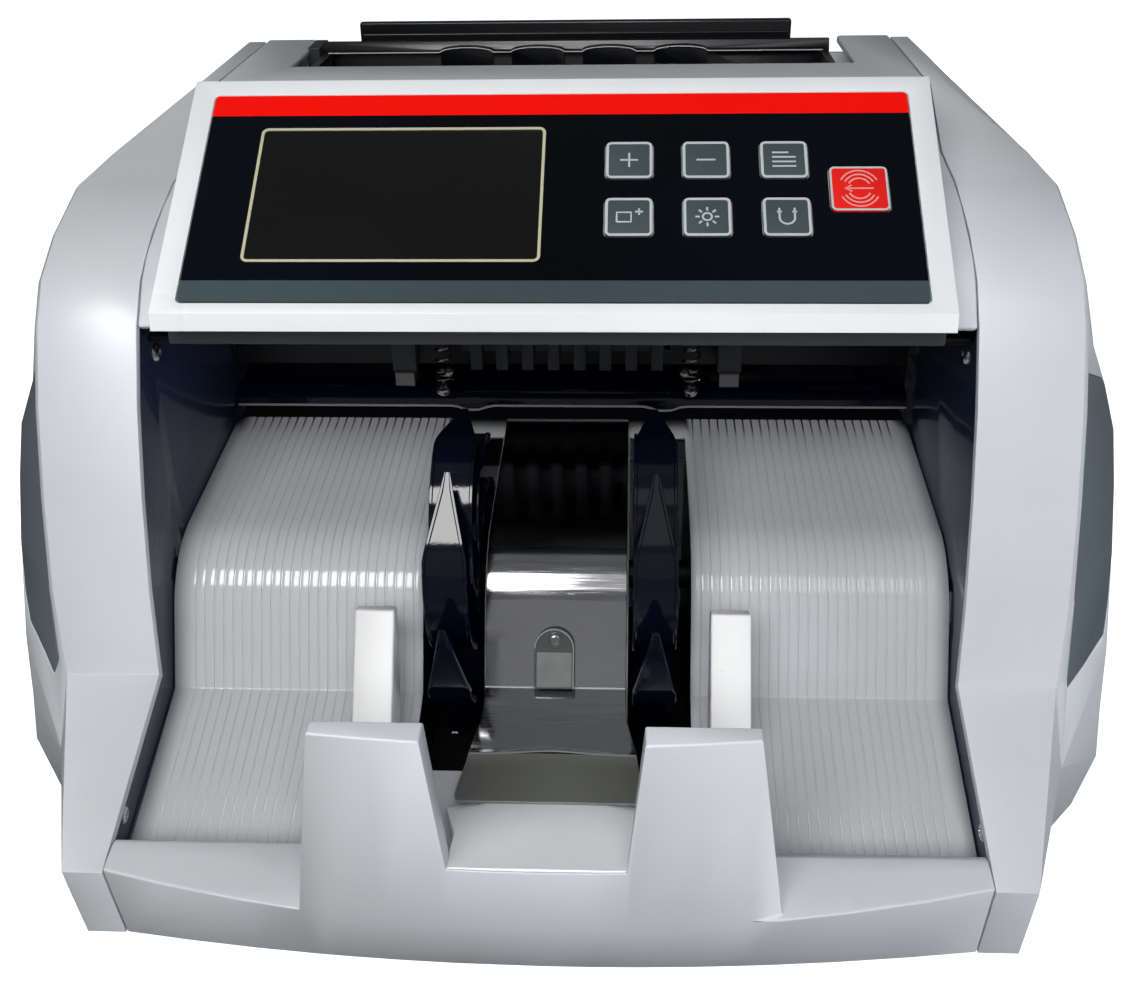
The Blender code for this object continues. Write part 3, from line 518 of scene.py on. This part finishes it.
# ---- stacker plates -----------------------------------------------------------------------------
WHEEL_AXIS = (-16.0, 60.0)  # y, z
PLATE_HALF, PLATE_THICK = 108.2, 2.0
PLATE_CORNERS = [(51.0, 76.0), (-22.6, 69.6), (-40.0, 35.4), (-93.4, 18.5)]
PLATE_BENDS = (28.0, 1.2)
SLOT_X, SLOT_Y = (20.0, 37.5), (-64.0, 41.0)
GROOVE_PITCH, GROOVE_WIDE, GROOVE_DEEP, GROOVE_FROM, GROOVE_TO = 2.7, 1.15, 0.34, 39.5, 103.0
GROOVE_PROFILE = ((0.0, 0.0), (0.28, 0.18), (0.40, 1.0), (0.60, 1.0), (0.72, 0.18), (1.0, 0.0))


def groove_stations():
    """Across half of the plate: (x, depth), with a groove at each pitch."""
    stations = [(0.0, 0.0), (SLOT_X[0], 0.0), (SLOT_X[1], 0.0)]
    x = GROOVE_FROM
    while x < GROOVE_TO:
        stations += [(x + share * GROOVE_WIDE, deep * GROOVE_DEEP) for share, deep in GROOVE_PROFILE]
        x += GROOVE_PITCH
    return stations + [(PLATE_HALF, 0.0)]


def with_stops(path, stops):
    """The path with extra points where its y passes each stop."""
    made = [path[0]]
    for (y0, z0), (y1, z1) in zip(path, path[1:]):
        for stop in sorted((s for s in stops if y1 < s < y0), reverse=True):
            share = (stop - y0) / (y1 - y0)
            made.append((stop, z0 + (z1 - z0) * share))
        made.append((y1, z1))
    return made


def path_normals(path):
    """The upward normal at each point of a path that runs from rear to front."""
    normals = []
    for k in range(len(path)):
        before, after = Vector(path[max(k - 1, 0)]), Vector(path[min(k + 1, len(path) - 1)])
        along = (after - before).normalized()
        normals.append(Vector((along.y, -along.x)))
    return normals


def ribbed_plate():
    """The stacker plate, rolled over its front, grooved from front to back and slotted for the wheels."""
    path = with_stops(fillet(PLATE_CORNERS, PLATE_BENDS), SLOT_Y)
    normals = path_normals(path)
    half = groove_stations()
    across = [(-x, deep) for x, deep in half[:0:-1]] + half
    points, faces = [], []
    for (y, z), normal in zip(path, normals):
        for x, deep in across:
            points.append(at(x, y - normal.x * deep, z - normal.y * deep))
    count = len(across)
    for r, ((y0, _), (y1, _)) in enumerate(zip(path, path[1:])):
        inside_y = y0 <= SLOT_Y[1] + 0.01 and y1 >= SLOT_Y[0] - 0.01
        for c in range(count - 1):
            middle = abs(across[c][0] + across[c + 1][0]) / 2
            if inside_y and SLOT_X[0] < middle < SLOT_X[1]:
                continue
            a = r * count + c
            faces.append((a, a + 1, a + count + 1, a + count))
    mesh = mesh_of("ribbed_plate", points, faces, 25.0)
    if mesh.polygons[0].normal.z < 0:
        mesh.flip_normals()
    made = piece("ribbed_plate", mesh, "machine", "ribbed", RIBBED, ["stacker_plate"])
    thick = made.modifiers.new("thickness", "SOLIDIFY")
    thick.thickness, thick.offset = PLATE_THICK * MM, -1


WELL_FLOOR_Z, WELL_WALL, SHAFT_CLEAR = 8.6, 0.5, 4.8


def wheel_wells():
    """A black trough under each slot, bored for the stacker shaft."""
    path = [(y, z - PLATE_THICK / 2) for y, z in with_stops(fillet(PLATE_CORNERS, PLATE_BENDS), SLOT_Y)
            if SLOT_Y[0] - 0.01 <= y <= SLOT_Y[1] + 0.01]
    axis = Vector(WHEEL_AXIS)
    over = [(axis.x + SHAFT_CLEAR * math.cos(t), axis.y + SHAFT_CLEAR * math.sin(t))
            for t in (-math.pi / 2 - 2 * math.pi * k / 24 for k in range(25))]
    outline = path + [(SLOT_Y[0], WELL_FLOOR_Z), (axis.x - 0.01, WELL_FLOOR_Z)] + over + \
        [(axis.x + 0.01, WELL_FLOOR_Z), (SLOT_Y[1], WELL_FLOOR_Z)]
    for side, word in side_words():
        parts = []
        for low in (SLOT_X[0] - WELL_WALL, SLOT_X[1]):
            parts.append(loft_parts([[at(side * x, y, z) for y, z in outline]
                                     for x in (low, low + WELL_WALL)]))
        floor = ((SLOT_Y[0], WELL_FLOOR_Z), (SLOT_Y[1], WELL_FLOOR_Z), (SLOT_Y[1], WELL_FLOOR_Z + 0.5),
                 (SLOT_Y[0], WELL_FLOOR_Z + 0.5))
        front = ((SLOT_Y[0], WELL_FLOOR_Z), (SLOT_Y[0] + 0.5, WELL_FLOOR_Z),
                 (SLOT_Y[0] + 0.5, path[-1][1]), (SLOT_Y[0], path[-1][1]))
        for wall in (floor, front):
            parts.append(loft_parts([[at(side * x, y, z) for y, z in wall] for x in SLOT_X]))
        piece("wheel_well_" + word, join("wheel_well_" + word, parts), "machine", "black_plastic", DULL)


STEEL_CORNERS = [(49.0, 77.3), (-23.5, 71.05), (-41.5, 38.6), (-62.0, 30.6), (-80.6, 32.8)]
STEEL_BENDS = (30.0, 0.8, 14.0)
STEEL_THICK, STEEL_COLUMNS = 0.8, 12
FLAP_Y = -60.5
FLAP_WAVE, WAVE_Y, WAVE_REACH = 0.35, -64.0, 5.0   # the flap's root is slightly wavy
STEEL_HALF = ((49.0, 19.6), (-46.0, 19.6), (-51.0, 20.0), (-56.0, 21.4), (-60.0, 22.6), (-68.0, 23.5),
              (-77.6, 24.2), (-79.4, 23.9), (-80.3, 23.1), (-80.6, 22.2))


def half_width(y):
    for (y0, h0), (y1, h1) in zip(STEEL_HALF, STEEL_HALF[1:]):
        if y >= y1:
            return h0 + (h1 - h0) * (y0 - y) / (y0 - y1)
    return STEEL_HALF[-1][1]


def flap_wave(x, y, half):
    return FLAP_WAVE * math.cos(math.pi * x / half) * math.exp(-((y - WAVE_Y) / WAVE_REACH) ** 2)


def centre_plate():
    """A pressed stainless plate: a rolled top, a crease, and a flared flap with round corners."""
    path = with_stops(fillet(STEEL_CORNERS, STEEL_BENDS),
                      [y for y, _ in STEEL_HALF] + [-70.0 - k for k in range(9)])
    normals = path_normals(path)
    sections = []
    for (y, z), normal in zip(path, normals):
        half = half_width(y)
        upper, lower = [], []
        for c in range(STEEL_COLUMNS + 1):
            x = half * (2 * c / STEEL_COLUMNS - 1)
            wave = flap_wave(x, y, half)
            under = wave - STEEL_THICK
            upper.append(at(x, y + normal.x * wave, z + normal.y * wave))
            lower.append(at(x, y + normal.x * under, z + normal.y * under))
        sections.append(upper + lower[::-1])
    made = piece("pressed_centre_plate", join("pressed_centre_plate", [loft_parts(sections)]),
                 "machine", "stainless", STEEL, ["centre_plate"])
    # the flap beyond FLAP_Y takes the copy with the painted reflection
    made.data.materials.append(FLAP_REFLECTION)
    for face in made.data.polygons:
        face.material_index = int(face.center.y < at(0, FLAP_Y, 0).y)
    soften(made, 0.2, 2, 50.0)
    # painted highlights along the crease and the flap's root, standing in for their glints
    steel_highlight_line("crease_highlight", path, STEEL_CORNERS[2][0], 0.0, HIGHLIGHT_LIGHT)
    steel_highlight_line("flap_highlight", path, FLAP_Y, 0.7, HIGHLIGHT_GREY)


LINE_STEPS = 40
LINE_PROFILE = ((-0.22, -0.2), (0.22, -0.2), (0.16, 0.2), (-0.16, 0.2))


def steel_highlight_line(name, path, y, swell, finish):
    """A thin painted highlight line across the centre plate, swelling to the rear in its middle."""
    half, sections = half_width(y) - 0.3, []
    for c in range(LINE_STEPS + 1):
        x = half * (2 * c / LINE_STEPS - 1)
        place = y + swell * math.exp(-(x / (0.4 * half)) ** 2)
        (y0, z0), (y1, z1) = next(pair for pair in zip(path, path[1:]) if pair[1][0] <= place)
        z = z0 + (z1 - z0) * (place - y0) / (y1 - y0) + flap_wave(x, place, half)
        sections.append([at(x, place + a, z + b) for a, b in LINE_PROFILE])
    piece(name, join(name, [loft_parts(sections)]), "machine", "stainless", finish)


def rests():
    for _, word in side_words():
        refined("stack_rest_" + word, 0.6, 2)


COVER_FOOT = (-0.25, -41.8, 38.9)
COVER_SLOPE = math.atan2(63.6 - 38.6, 41.5 - 27.4)   # about the plate's above its crease
COVER_HALF, COVER_STRAIGHT = 5.6, 11.2
INSERT_HALF, INSERT_LOW, INSERT_HIGH = 4.9, 0.4, 10.1
SENSOR_SCREW = (0.2, 13.2, 0.9)


def on_cover(x, up, height):
    return at(COVER_FOOT[0] + x,
              COVER_FOOT[1] + up * math.cos(COVER_SLOPE) - height * math.sin(COVER_SLOPE),
              COVER_FOOT[2] + up * math.sin(COVER_SLOPE) + height * math.cos(COVER_SLOPE))


def arch_outline(inset):
    half = COVER_HALF - inset
    return [(-half, inset), (half, inset), (half, COVER_STRAIGHT)] + \
        [(half * math.cos(t), COVER_STRAIGHT + half * math.sin(t))
         for t in (math.pi * k / 16 for k in range(1, 16))] + [(-half, COVER_STRAIGHT)]


def sensor_cover():
    """A clear arched cap over the stack sensor, its milky insert, a painted highlight along its rim, and
    its screw.
    """
    outside = [[on_cover(a, b, level) for a, b in arch_outline(inset)]
               for level, inset in ((0.6, 0.0), (2.4, 0.0), (3.0, 0.6))]
    piece("sensor_cap", join("sensor_cap", [loft_parts(outside)]), "machine", "clear", CLEAR,
          ["sensor_cover"])
    corners = ((-INSERT_HALF, INSERT_LOW), (INSERT_HALF, INSERT_LOW), (INSERT_HALF, INSERT_HIGH),
               (-INSERT_HALF, INSERT_HIGH))
    insert = [[on_cover(a, b, level) for a, b in corners] for level in (0.7, 2.2)]
    soften(piece("sensor_insert", join("sensor_insert", [loft_parts(insert)]), "machine", "clear",
                 MILKY), 0.3)
    # a painted highlight: a light grey stroke along the cap's arch stands in for its bright rim
    rim = arch_outline(0.3)[1:]
    piece("sensor_cap_highlight", join("sensor_cap_highlight", [stroke(rim, 0.35, on_cover, 2.9, 3.15)]), "machine",
          "clear", HIGHLIGHT_GREY)
    facing = on_cover(0, 0, 1) - on_cover(0, 0, 0)
    screw("sensor_screw", on_cover(*SENSOR_SCREW), facing, size=0.85)


# ---- stacker wheels -----------------------------------------------------------------------------
WHEEL_RADIUS, WHEEL_X, WHEEL_HALF, HUB_RADIUS = 47.0, 27.0, 5.75, 15.0
BLADES, FIRST_TIP, SWEEP = 7, math.radians(15.0), math.radians(118)
BLADE_ROOT, TIP_HALF, POINT_SHARE, BLADE_STEPS = 13.0, 0.8, 0.25, 40
TIP_DROP, TIP_SHARE = 3.6, 0.21  # the flatter part behind each point
RIM_WIDE, RIM_DEEP = 0.7, 0.35


def blade(tip_angle, at_x):
    """A curved blade, its middle sunk between two rims, spiralling from its point into the hub."""
    sections = []
    for k in range(BLADE_STEPS + 1):
        t = (k / BLADE_STEPS) ** 1.3
        turn = tip_angle - SWEEP * t
        radius = WHEEL_RADIUS - TIP_DROP * (1 - (1 - min(1.0, t / TIP_SHARE)) ** 2) \
            - (WHEEL_RADIUS - BLADE_ROOT - TIP_DROP) * (max(0.0, t - TIP_SHARE) / (1 - TIP_SHARE)) ** 1.4
        half = TIP_HALF + (WHEEL_HALF - TIP_HALF) * min(1.0, t / POINT_SHARE)
        thick = min(0.5 + 8.0 * t, 1.6 + 1.5 * t)
        rim, deep = min(RIM_WIDE, half * 0.4), RIM_DEEP * min(1.0, half / 2)
        profile = ((-half, 0.15), (-half + 0.15, 0.0), (-half + rim, 0.0), (-half + rim * 1.4, deep),
                   (half - rim * 1.4, deep), (half - rim, 0.0), (half - 0.15, 0.0), (half, 0.15),
                   (half * 0.96, thick), (-half * 0.96, thick))
        sections.append([at(at_x + x, WHEEL_AXIS[0] - (radius - d) * math.cos(turn),
                            WHEEL_AXIS[1] + (radius - d) * math.sin(turn)) for x, d in profile])
    return loft_parts(sections)


def turned_parts(axis, steps, sides=40):
    """A body turned about X through (x, radius) steps; it ends on its axis or is closed flat."""
    sections = [[at(x, axis[0] + radius * math.cos(t), axis[1] + radius * math.sin(t))
                 for t in (2 * math.pi * k / sides for k in range(sides))] for x, radius in steps]
    return loft_parts(sections)


def wheels():
    """Both stacker wheels: seven blades around a hub with broken edges."""
    for side, word in side_words():
        x = side * WHEEL_X
        parts = [blade(FIRST_TIP + 2 * math.pi * k / BLADES, x) for k in range(BLADES)]
        h = WHEEL_HALF
        parts.append(turned_parts(WHEEL_AXIS, [(x - h, 9.0), (x - h, HUB_RADIUS - 0.4),
                                               (x - h + 0.4, HUB_RADIUS), (x + h - 0.4, HUB_RADIUS),
                                               (x + h, HUB_RADIUS - 0.4), (x + h, 9.0)]))
        piece("paddle_wheel_" + word, join("paddle_wheel_" + word, parts, 40.0), "stacker",
              "black_gloss", BLACK, ["stacker_wheel_" + word])


# ---- pocket -------------------------------------------------------------------------------------
GUIDE_HALF, GUIDE_EDGE_Z, BEAD = 108.2, 79.4, 0.35
GUIDE_COLUMNS, LIP_Y, LIP_RADIUS = 90, 52.0, 0.8
GUIDE_OVER = [(78.0, 87.0), (60.0, 85.3), (55.6, 84.6), (53.4, 83.4), (52.6, 81.8)]
GUIDE_UNDER = [(54.1, 82.0), (55.0, 83.0), (56.6, 83.6), (60.0, 84.0), (78.0, 85.4)]
# painted shade: a black sheet behind the exit's lip that hides the machine's inside, which lies in shade
SHADE_SHEET = [(51.6, 75.6), (66.0, 76.6), (80.0, 81.0), (80.0, 80.2), (66.0, 75.8), (51.6, 74.8)]
POST_X, POST_FOOT_Z, SPRING_X, SPRING_Y = 50.7, 91.0, 39.2, 50.0


def guide_edge(x):
    """The exit guide's lip dips beside each stacker wheel."""
    return GUIDE_EDGE_Z - 1.5 * math.exp(-((abs(x) - 31.0) / 4.5) ** 4)


def exit_guide():
    """The gloss guide above the notes' exit, with a rolled lip and a light strip of painted highlight
    along it.
    """
    stations = [GUIDE_HALF * (2 * c / GUIDE_COLUMNS - 1) for c in range(GUIDE_COLUMNS + 1)]
    sections = []
    for x in stations:
        edge = guide_edge(x)
        roll = [(LIP_Y + LIP_RADIUS + LIP_RADIUS * math.cos(t),
                 edge + LIP_RADIUS + LIP_RADIUS * math.sin(t))
                for t in (math.pi + math.pi / 5 * k for k in range(6))]
        outline = GUIDE_OVER + [(LIP_Y, edge + 1)] + roll + GUIDE_UNDER
        sections.append([at(x, y, z) for y, z in outline])
    # a painted highlight: a light grey strip along the lip stands in for its glint
    bead = [[at(x, LIP_Y - 0.1 - a, guide_edge(x) + LIP_RADIUS + b) for a, b in
             ((0, -BEAD), (BEAD, -BEAD), (BEAD, BEAD), (0, BEAD))] for x in stations]
    piece("exit_guide_highlight", join("exit_guide_highlight", [loft_parts(bead)]), "machine", "black_gloss",
          HIGHLIGHT_GREY)
    piece("rolled_exit_guide", join("rolled_exit_guide", [loft_parts(sections)], 50.0), "machine",
          "black_gloss", BLACK, ["exit_guide"])


def coil(name, place, radius, wire, turns, height, replaced):
    """A compression spring with closed ends."""
    curve = bpy.data.curves.new(name, "CURVE")
    curve.dimensions = "3D"
    curve.bevel_depth, curve.bevel_resolution = wire * MM, 3
    curve.use_fill_caps = True
    line = curve.splines.new("POLY")
    around = 20
    line.points.add(turns * around)
    for k, point in enumerate(line.points):
        share = k / (turns * around)
        lift = wire + (height - 2 * wire) * (0.5 - 0.5 * math.cos(math.pi * share) * (1 - 0.35 *
               math.sin(math.pi * share) ** 2))
        turn = 2 * math.pi * k / around
        point.co = (*(place + Vector((radius * math.cos(turn), radius * math.sin(turn), lift)) * MM), 1)
    curve.materials.append(CHROME)
    made = bpy.data.objects.new(name, curve)
    bpy.context.scene.collection.objects.link(made)
    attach(made, "machine")
    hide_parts(replaced)


def soft_box(name, low, high, finish, slot, width=0.4, body="machine", replaced=()):
    corners = [[at(x, y, z) for y, z in ((low[1], low[2]), (high[1], low[2]), (high[1], high[2]),
                                         (low[1], high[2]))] for x in (low[0], high[0])]
    return soften(piece(name, join(name, [loft_parts(corners)]), body, slot, finish, replaced), width)


COMB_EDGE = (-33, 50.6, 84.9), (33, 52.0, 86.0)
SPRING_SCREW, SPRING_NUT = (39.0, 44.0, 89.7), (36.8, 44.0, 95.7)
WALL_SCREWS = ((-7.5, 124.5), (-85.5, 30.3))   # y, z
WALL_FACE_X = 108.7


def pocket():
    """The hood, comb and posts above the exit, the comb and posts in painted shade, their springs, a
    black sheet of painted shade behind the exit, and the walls with their screws.
    """
    refined("pocket_hood", 0.4)
    # the comb is drawn near black, painted shade under the hood
    refined("guide_comb", 0.35, finish=SHADE_GREY)
    soft_box("comb_edge", *COMB_EDGE, BLACK, "black_gloss")
    # the black sheet is painted shade behind the exit
    shade_outline = [[at(x, y, z) for y, z in SHADE_SHEET] for x in (-GUIDE_HALF + 0.4, GUIDE_HALF - 0.4)]
    piece("exit_shade_sheet", join("exit_shade_sheet", [loft_parts(shade_outline)]), "machine", "black_plastic", DULL)
    for side, word in side_words():
        # the posts are drawn near black, painted shade under the hood
        refined("pressure_post_" + word, 0.5, finish=SHADE_GREY)
        x = side * POST_X
        # the pads are drawn grey, painted shade on white plastic
        soft_box("post_pad_" + word, (x - 3.0, 42.7, POST_FOOT_Z + 0.4),
                 (x + 3.0, 43.4, POST_FOOT_Z + 4.6), PAD_SHADE, "white_plastic", 0.2)
        coil("coil_spring_" + word, at(side * SPRING_X, SPRING_Y, 90.0), 2.6, 0.38, 9, 28.0,
             "pressure_spring_" + word)
        for kind, (out, y, z), facing, size in (("screw", SPRING_SCREW, (0, -0.75, 0.65), 0.9),
                                                ("nut", SPRING_NUT, (0, -0.8, 0.6), 0.6)):
            screw("spring_%s_%s" % (kind, word), at(side * out, y, z), facing, size=size)
        refined("inner_wall_" + word, 0.4)
        for k, (y, z) in enumerate(WALL_SCREWS):
            screw("wall_screw_%s_%d" % (word, k), at(side * WALL_FACE_X, y, z), (-side, 0, 0))


# ---- hopper, drive and rear ---------------------------------------------------------------------
LIP_LINE_Z, LIP_FACE_Y, LIP_HALF = 176.5, 125.4, 83
ROLLER_X, RELIEF_HALF, RELIEF_RISE = (-36.0, -12.0, 12.0, 36.0), 8.8, 1.5
SUPPORT_RIB = (-72.0, 130.9, 150.0), (72.0, 132.5, 181.6)
# a dark box over the left wall of the hopper opening, painted shade on that wall
RIM_SHADE_BLOCK = (-90.0, 124.5, 166.0), (-85.8, 139.4, 178.3)


def lip_rise(x):
    """The feed plate's lip arches over each pick-up roller."""
    return sum(RELIEF_RISE * math.sqrt(max(0.0, 1 - ((x - centre) / RELIEF_HALF) ** 2))
               for centre in ROLLER_X)


def hopper():
    """The black feed parts, with the support's rib, a dark box of painted shade on the opening's left
    wall, and the feed plate's arched lip with a painted highlight along it.
    """
    for node, width in (("feed_plate", 0.35), ("note_support", 0.8), ("hopper_guide_left", 0.5),
                        ("hopper_guide_right", 0.5), ("hopper_tray", 0.4)):
        refined(node, width, finish=DEEP_BLACK)
    soft_box("support_rib", *SUPPORT_RIB, DEEP_BLACK, "black_plastic", 0.5, "support")
    soft_box("rim_shade_block", *RIM_SHADE_BLOCK, SHADE_GREY, "black_plastic", 0.3)
    line = [(x / 2, LIP_LINE_Z + lip_rise(x / 2)) for x in range(-2 * LIP_HALF, 2 * LIP_HALF + 1)]

    def place(a, b, height):
        return at(a, LIP_FACE_Y - height, b)

    piece("feed_lip", join("feed_lip", [stroke(line, 0.8, place, -2.2, 0.3)]), "machine",
          "black_plastic", DEEP_BLACK)
    # a painted highlight: a light grey line along the lip stands in for its glint
    piece("feed_lip_highlight", join("feed_lip_highlight", [stroke(line, 0.3, place, 0.2, 0.45)]), "machine",
          "black_plastic", HIGHLIGHT_LIGHT)


PIN_X, PIN_HALF = (-69.0, -63.0, -57.0), (1.0, 2.4)
PIN_Z, EARTH_PIN_Z = 39.6, 37.0
ROCKER_X, ROCKER_Y, ROCKER_Z = -40.0, 134.8, 38.0
ROCKER_HALF, ROCKER_RISE = 8.0, 2.6   # height of each half and how far its end stands out


def rear():
    """The power inlet with its pins, and the switch with the marks on its rocker."""
    refined("power_inlet", 0.5)
    refined("power_switch", 0.4)
    wide, tall = PIN_HALF
    for k, x in enumerate(PIN_X):
        z = EARTH_PIN_Z if k == 1 else PIN_Z
        soft_box("inlet_pin_%d" % k, (x - wide, 125.0, z - tall), (x + wide, 136.5, z + tall), BRASS,
                 "motor_metal", 0.3)
    mark = [stroke([(-1.6, 0), (1.6, 0)], 0.5, rocker_face(42.0), -0.1, 0.15)]
    mark.append(stroke(arc(1.4, 0, 360), 0.5, rocker_face(34.0), -0.1, 0.15))
    piece("rocker_marks", join("rocker_marks", mark), "switch_rocker", "black_plastic", INK)


def rocker_face(z):
    """Places on the rocker's tilted half that stands out at height z."""
    lean = math.atan2(ROCKER_RISE, ROCKER_HALF) * (1 if z > ROCKER_Z else -1)
    middle_y = ROCKER_Y + ROCKER_RISE * abs(z - ROCKER_Z) / ROCKER_HALF

    def place(a, b, height):
        return at(ROCKER_X + a, middle_y + b * math.sin(lean) + height * math.cos(lean),
                  z + b * math.cos(lean) - height * math.sin(lean))
    return place


def carried_over():
    """CAD nodes whose shape is right get their finish."""
    for name, node in nodes.items():
        if not node.hide_render:
            for material_slot in node.material_slots:
                # shafts get the darkened steel, painted shade in the stacker slots
                material_slot.material = SHAFT_SHADE if name.endswith("shaft") else FINISH[slot_of_node[name]]


# ---- stage, light and camera --------------------------------------------------------------------
def stage_floor():
    size, back = 6.0, 3.0
    mesh = mesh_of("floor", [(-size, -size, 0), (size, -size, 0), (size, back, 0), (-size, back, 0),
                             (-size, back, 4.0), (size, back, 4.0)], [(0, 1, 2, 3), (3, 2, 5, 4)])
    floor = bpy.data.objects.new("floor", mesh)
    bpy.context.scene.collection.objects.link(floor)
    pale = surface("pale_paper", (0.86, 0.865, 0.87), 0.7, drift=0.01, drift_scale=2.0, grain=300.0)
    pale.node_tree.nodes["Principled BSDF"].inputs["Emission Color"].default_value = (1, 1, 1, 1)
    pale.node_tree.nodes["Principled BSDF"].inputs["Emission Strength"].default_value = 1.0
    mesh.materials.append(pale)
    floor.visible_diffuse = floor.visible_glossy = False


def area_light(name, place, target, width, height, power, colour=(1, 1, 1), diffuse=True, gloss=True):
    data = bpy.data.lights.new(name, "AREA")
    data.shape, data.size, data.size_y = "RECTANGLE", width, height
    data.energy, data.color = power, colour
    made = bpy.data.objects.new(name, data)
    made.location = place
    aim = Vector(target) - Vector(place)
    made.rotation_euler = aim.to_track_quat("-Z", "Y").to_euler()
    made.visible_diffuse, made.visible_glossy = diffuse, gloss
    bpy.context.scene.collection.objects.link(made)
    return data


PLATE_BEND = (0.0, -0.034, 0.066)  # where the ceiling panels are mirrored
PANEL_LOW, PANEL_HIGH = 47.0, 65.0  # their lower and upper edge above it, in degrees


def ceiling_panel(name, low_x, high_x, power):
    """A panel a metre from the plates' bend, seen in gloss only."""
    middle = math.radians((PANEL_LOW + PANEL_HIGH) / 2)
    place = ((low_x + high_x) / 2, PLATE_BEND[1] - math.cos(middle), PLATE_BEND[2] + math.sin(middle))
    area_light(name, place, (place[0], *PLATE_BEND[1:]), high_x - low_x,
               2 * math.tan(math.radians((PANEL_HIGH - PANEL_LOW) / 2)), power, diffuse=False)


def lights():
    area_light("key", (-0.05, -0.59, 0.51), (0, -0.02, 0.1), 0.5, 0.35, 4.6, (1.0, 1.0, 0.985),
               gloss=False)
    lamp = area_light("tray_lamp", (0.0, -0.112, 0.60), (0, -0.1115, 0.04), 0.09, 0.03, 0.0022,
                      gloss=False)
    lamp.spread = math.radians(6)
    area_light("fill", (0.9, -0.36, 0.05), (0, 0, 0.08), 0.6, 0.4, 4.4, (0.93, 0.96, 1.0), gloss=False)
    area_light("rear_fill", (0.15, 1.0, 0.10), (0, 0, 0.09), 0.8, 0.12, 5.0, (0.95, 0.97, 1.0),
               gloss=False)
    area_light("front_card", (0.0, -1.0, 0.40), (0, -0.03, 0.06), 1.6, 0.6, 0.3, diffuse=False)
    ceiling_panel("panel_left", -0.455, -0.06, 4.8)
    ceiling_panel("panel_middle", -0.06, 0.197, 0.08)
    ceiling_panel("panel_right", 0.197, 0.42, 0.7)
    world = bpy.data.worlds.new("studio")
    bpy.context.scene.world = world
    world.use_nodes = True
    background = world.node_tree.nodes["Background"]
    background.inputs["Color"].default_value = (0.93, 0.96, 1.0, 1.0)
    background.inputs["Strength"].default_value = 0.13


SENSOR, FOCAL_SHARE = 36.0, 1300 / 1138   # sensor width in mm, focal length over it
CAMERA_PLACE = (0.0202, -0.3375, 0.264)
CAMERA_DOWN, CAMERA_YAW, CAMERA_ROLL = (math.radians(a) for a in (30.0, 2.68, 0.48))


def camera():
    data = bpy.data.cameras.new("camera")
    data.sensor_width = SENSOR
    data.lens = SENSOR * FOCAL_SHARE
    data.clip_start = 0.01
    made = bpy.data.objects.new("camera", data)
    down, yaw, roll = CAMERA_DOWN, CAMERA_YAW, CAMERA_ROLL
    level = Vector((1, 0, 0))
    ahead = Vector((0, math.cos(down), -math.sin(down)))
    up = Vector((0, math.sin(down), math.cos(down)))
    right = math.cos(yaw) * level + math.sin(yaw) * ahead
    forward = -math.sin(yaw) * level + math.cos(yaw) * ahead
    columns = (math.cos(roll) * right + math.sin(roll) * up,
               -math.sin(roll) * right + math.cos(roll) * up, -forward, Vector(CAMERA_PLACE))
    made.matrix_world = Matrix([*map(tuple, zip(*columns)), (0, 0, 0, 1)])
    bpy.context.scene.collection.objects.link(made)
    bpy.context.scene.camera = made


camera()
casing()
tray_tongue()
panel_film()
keys()
display()
ribbed_plate()
wheel_wells()
centre_plate()
rests()
sensor_cover()
wheels()
exit_guide()
pocket()
hopper()
rear()
carried_over()
stage_floor()
lights()
bpy.context.scene.view_settings.view_transform = "Standard"
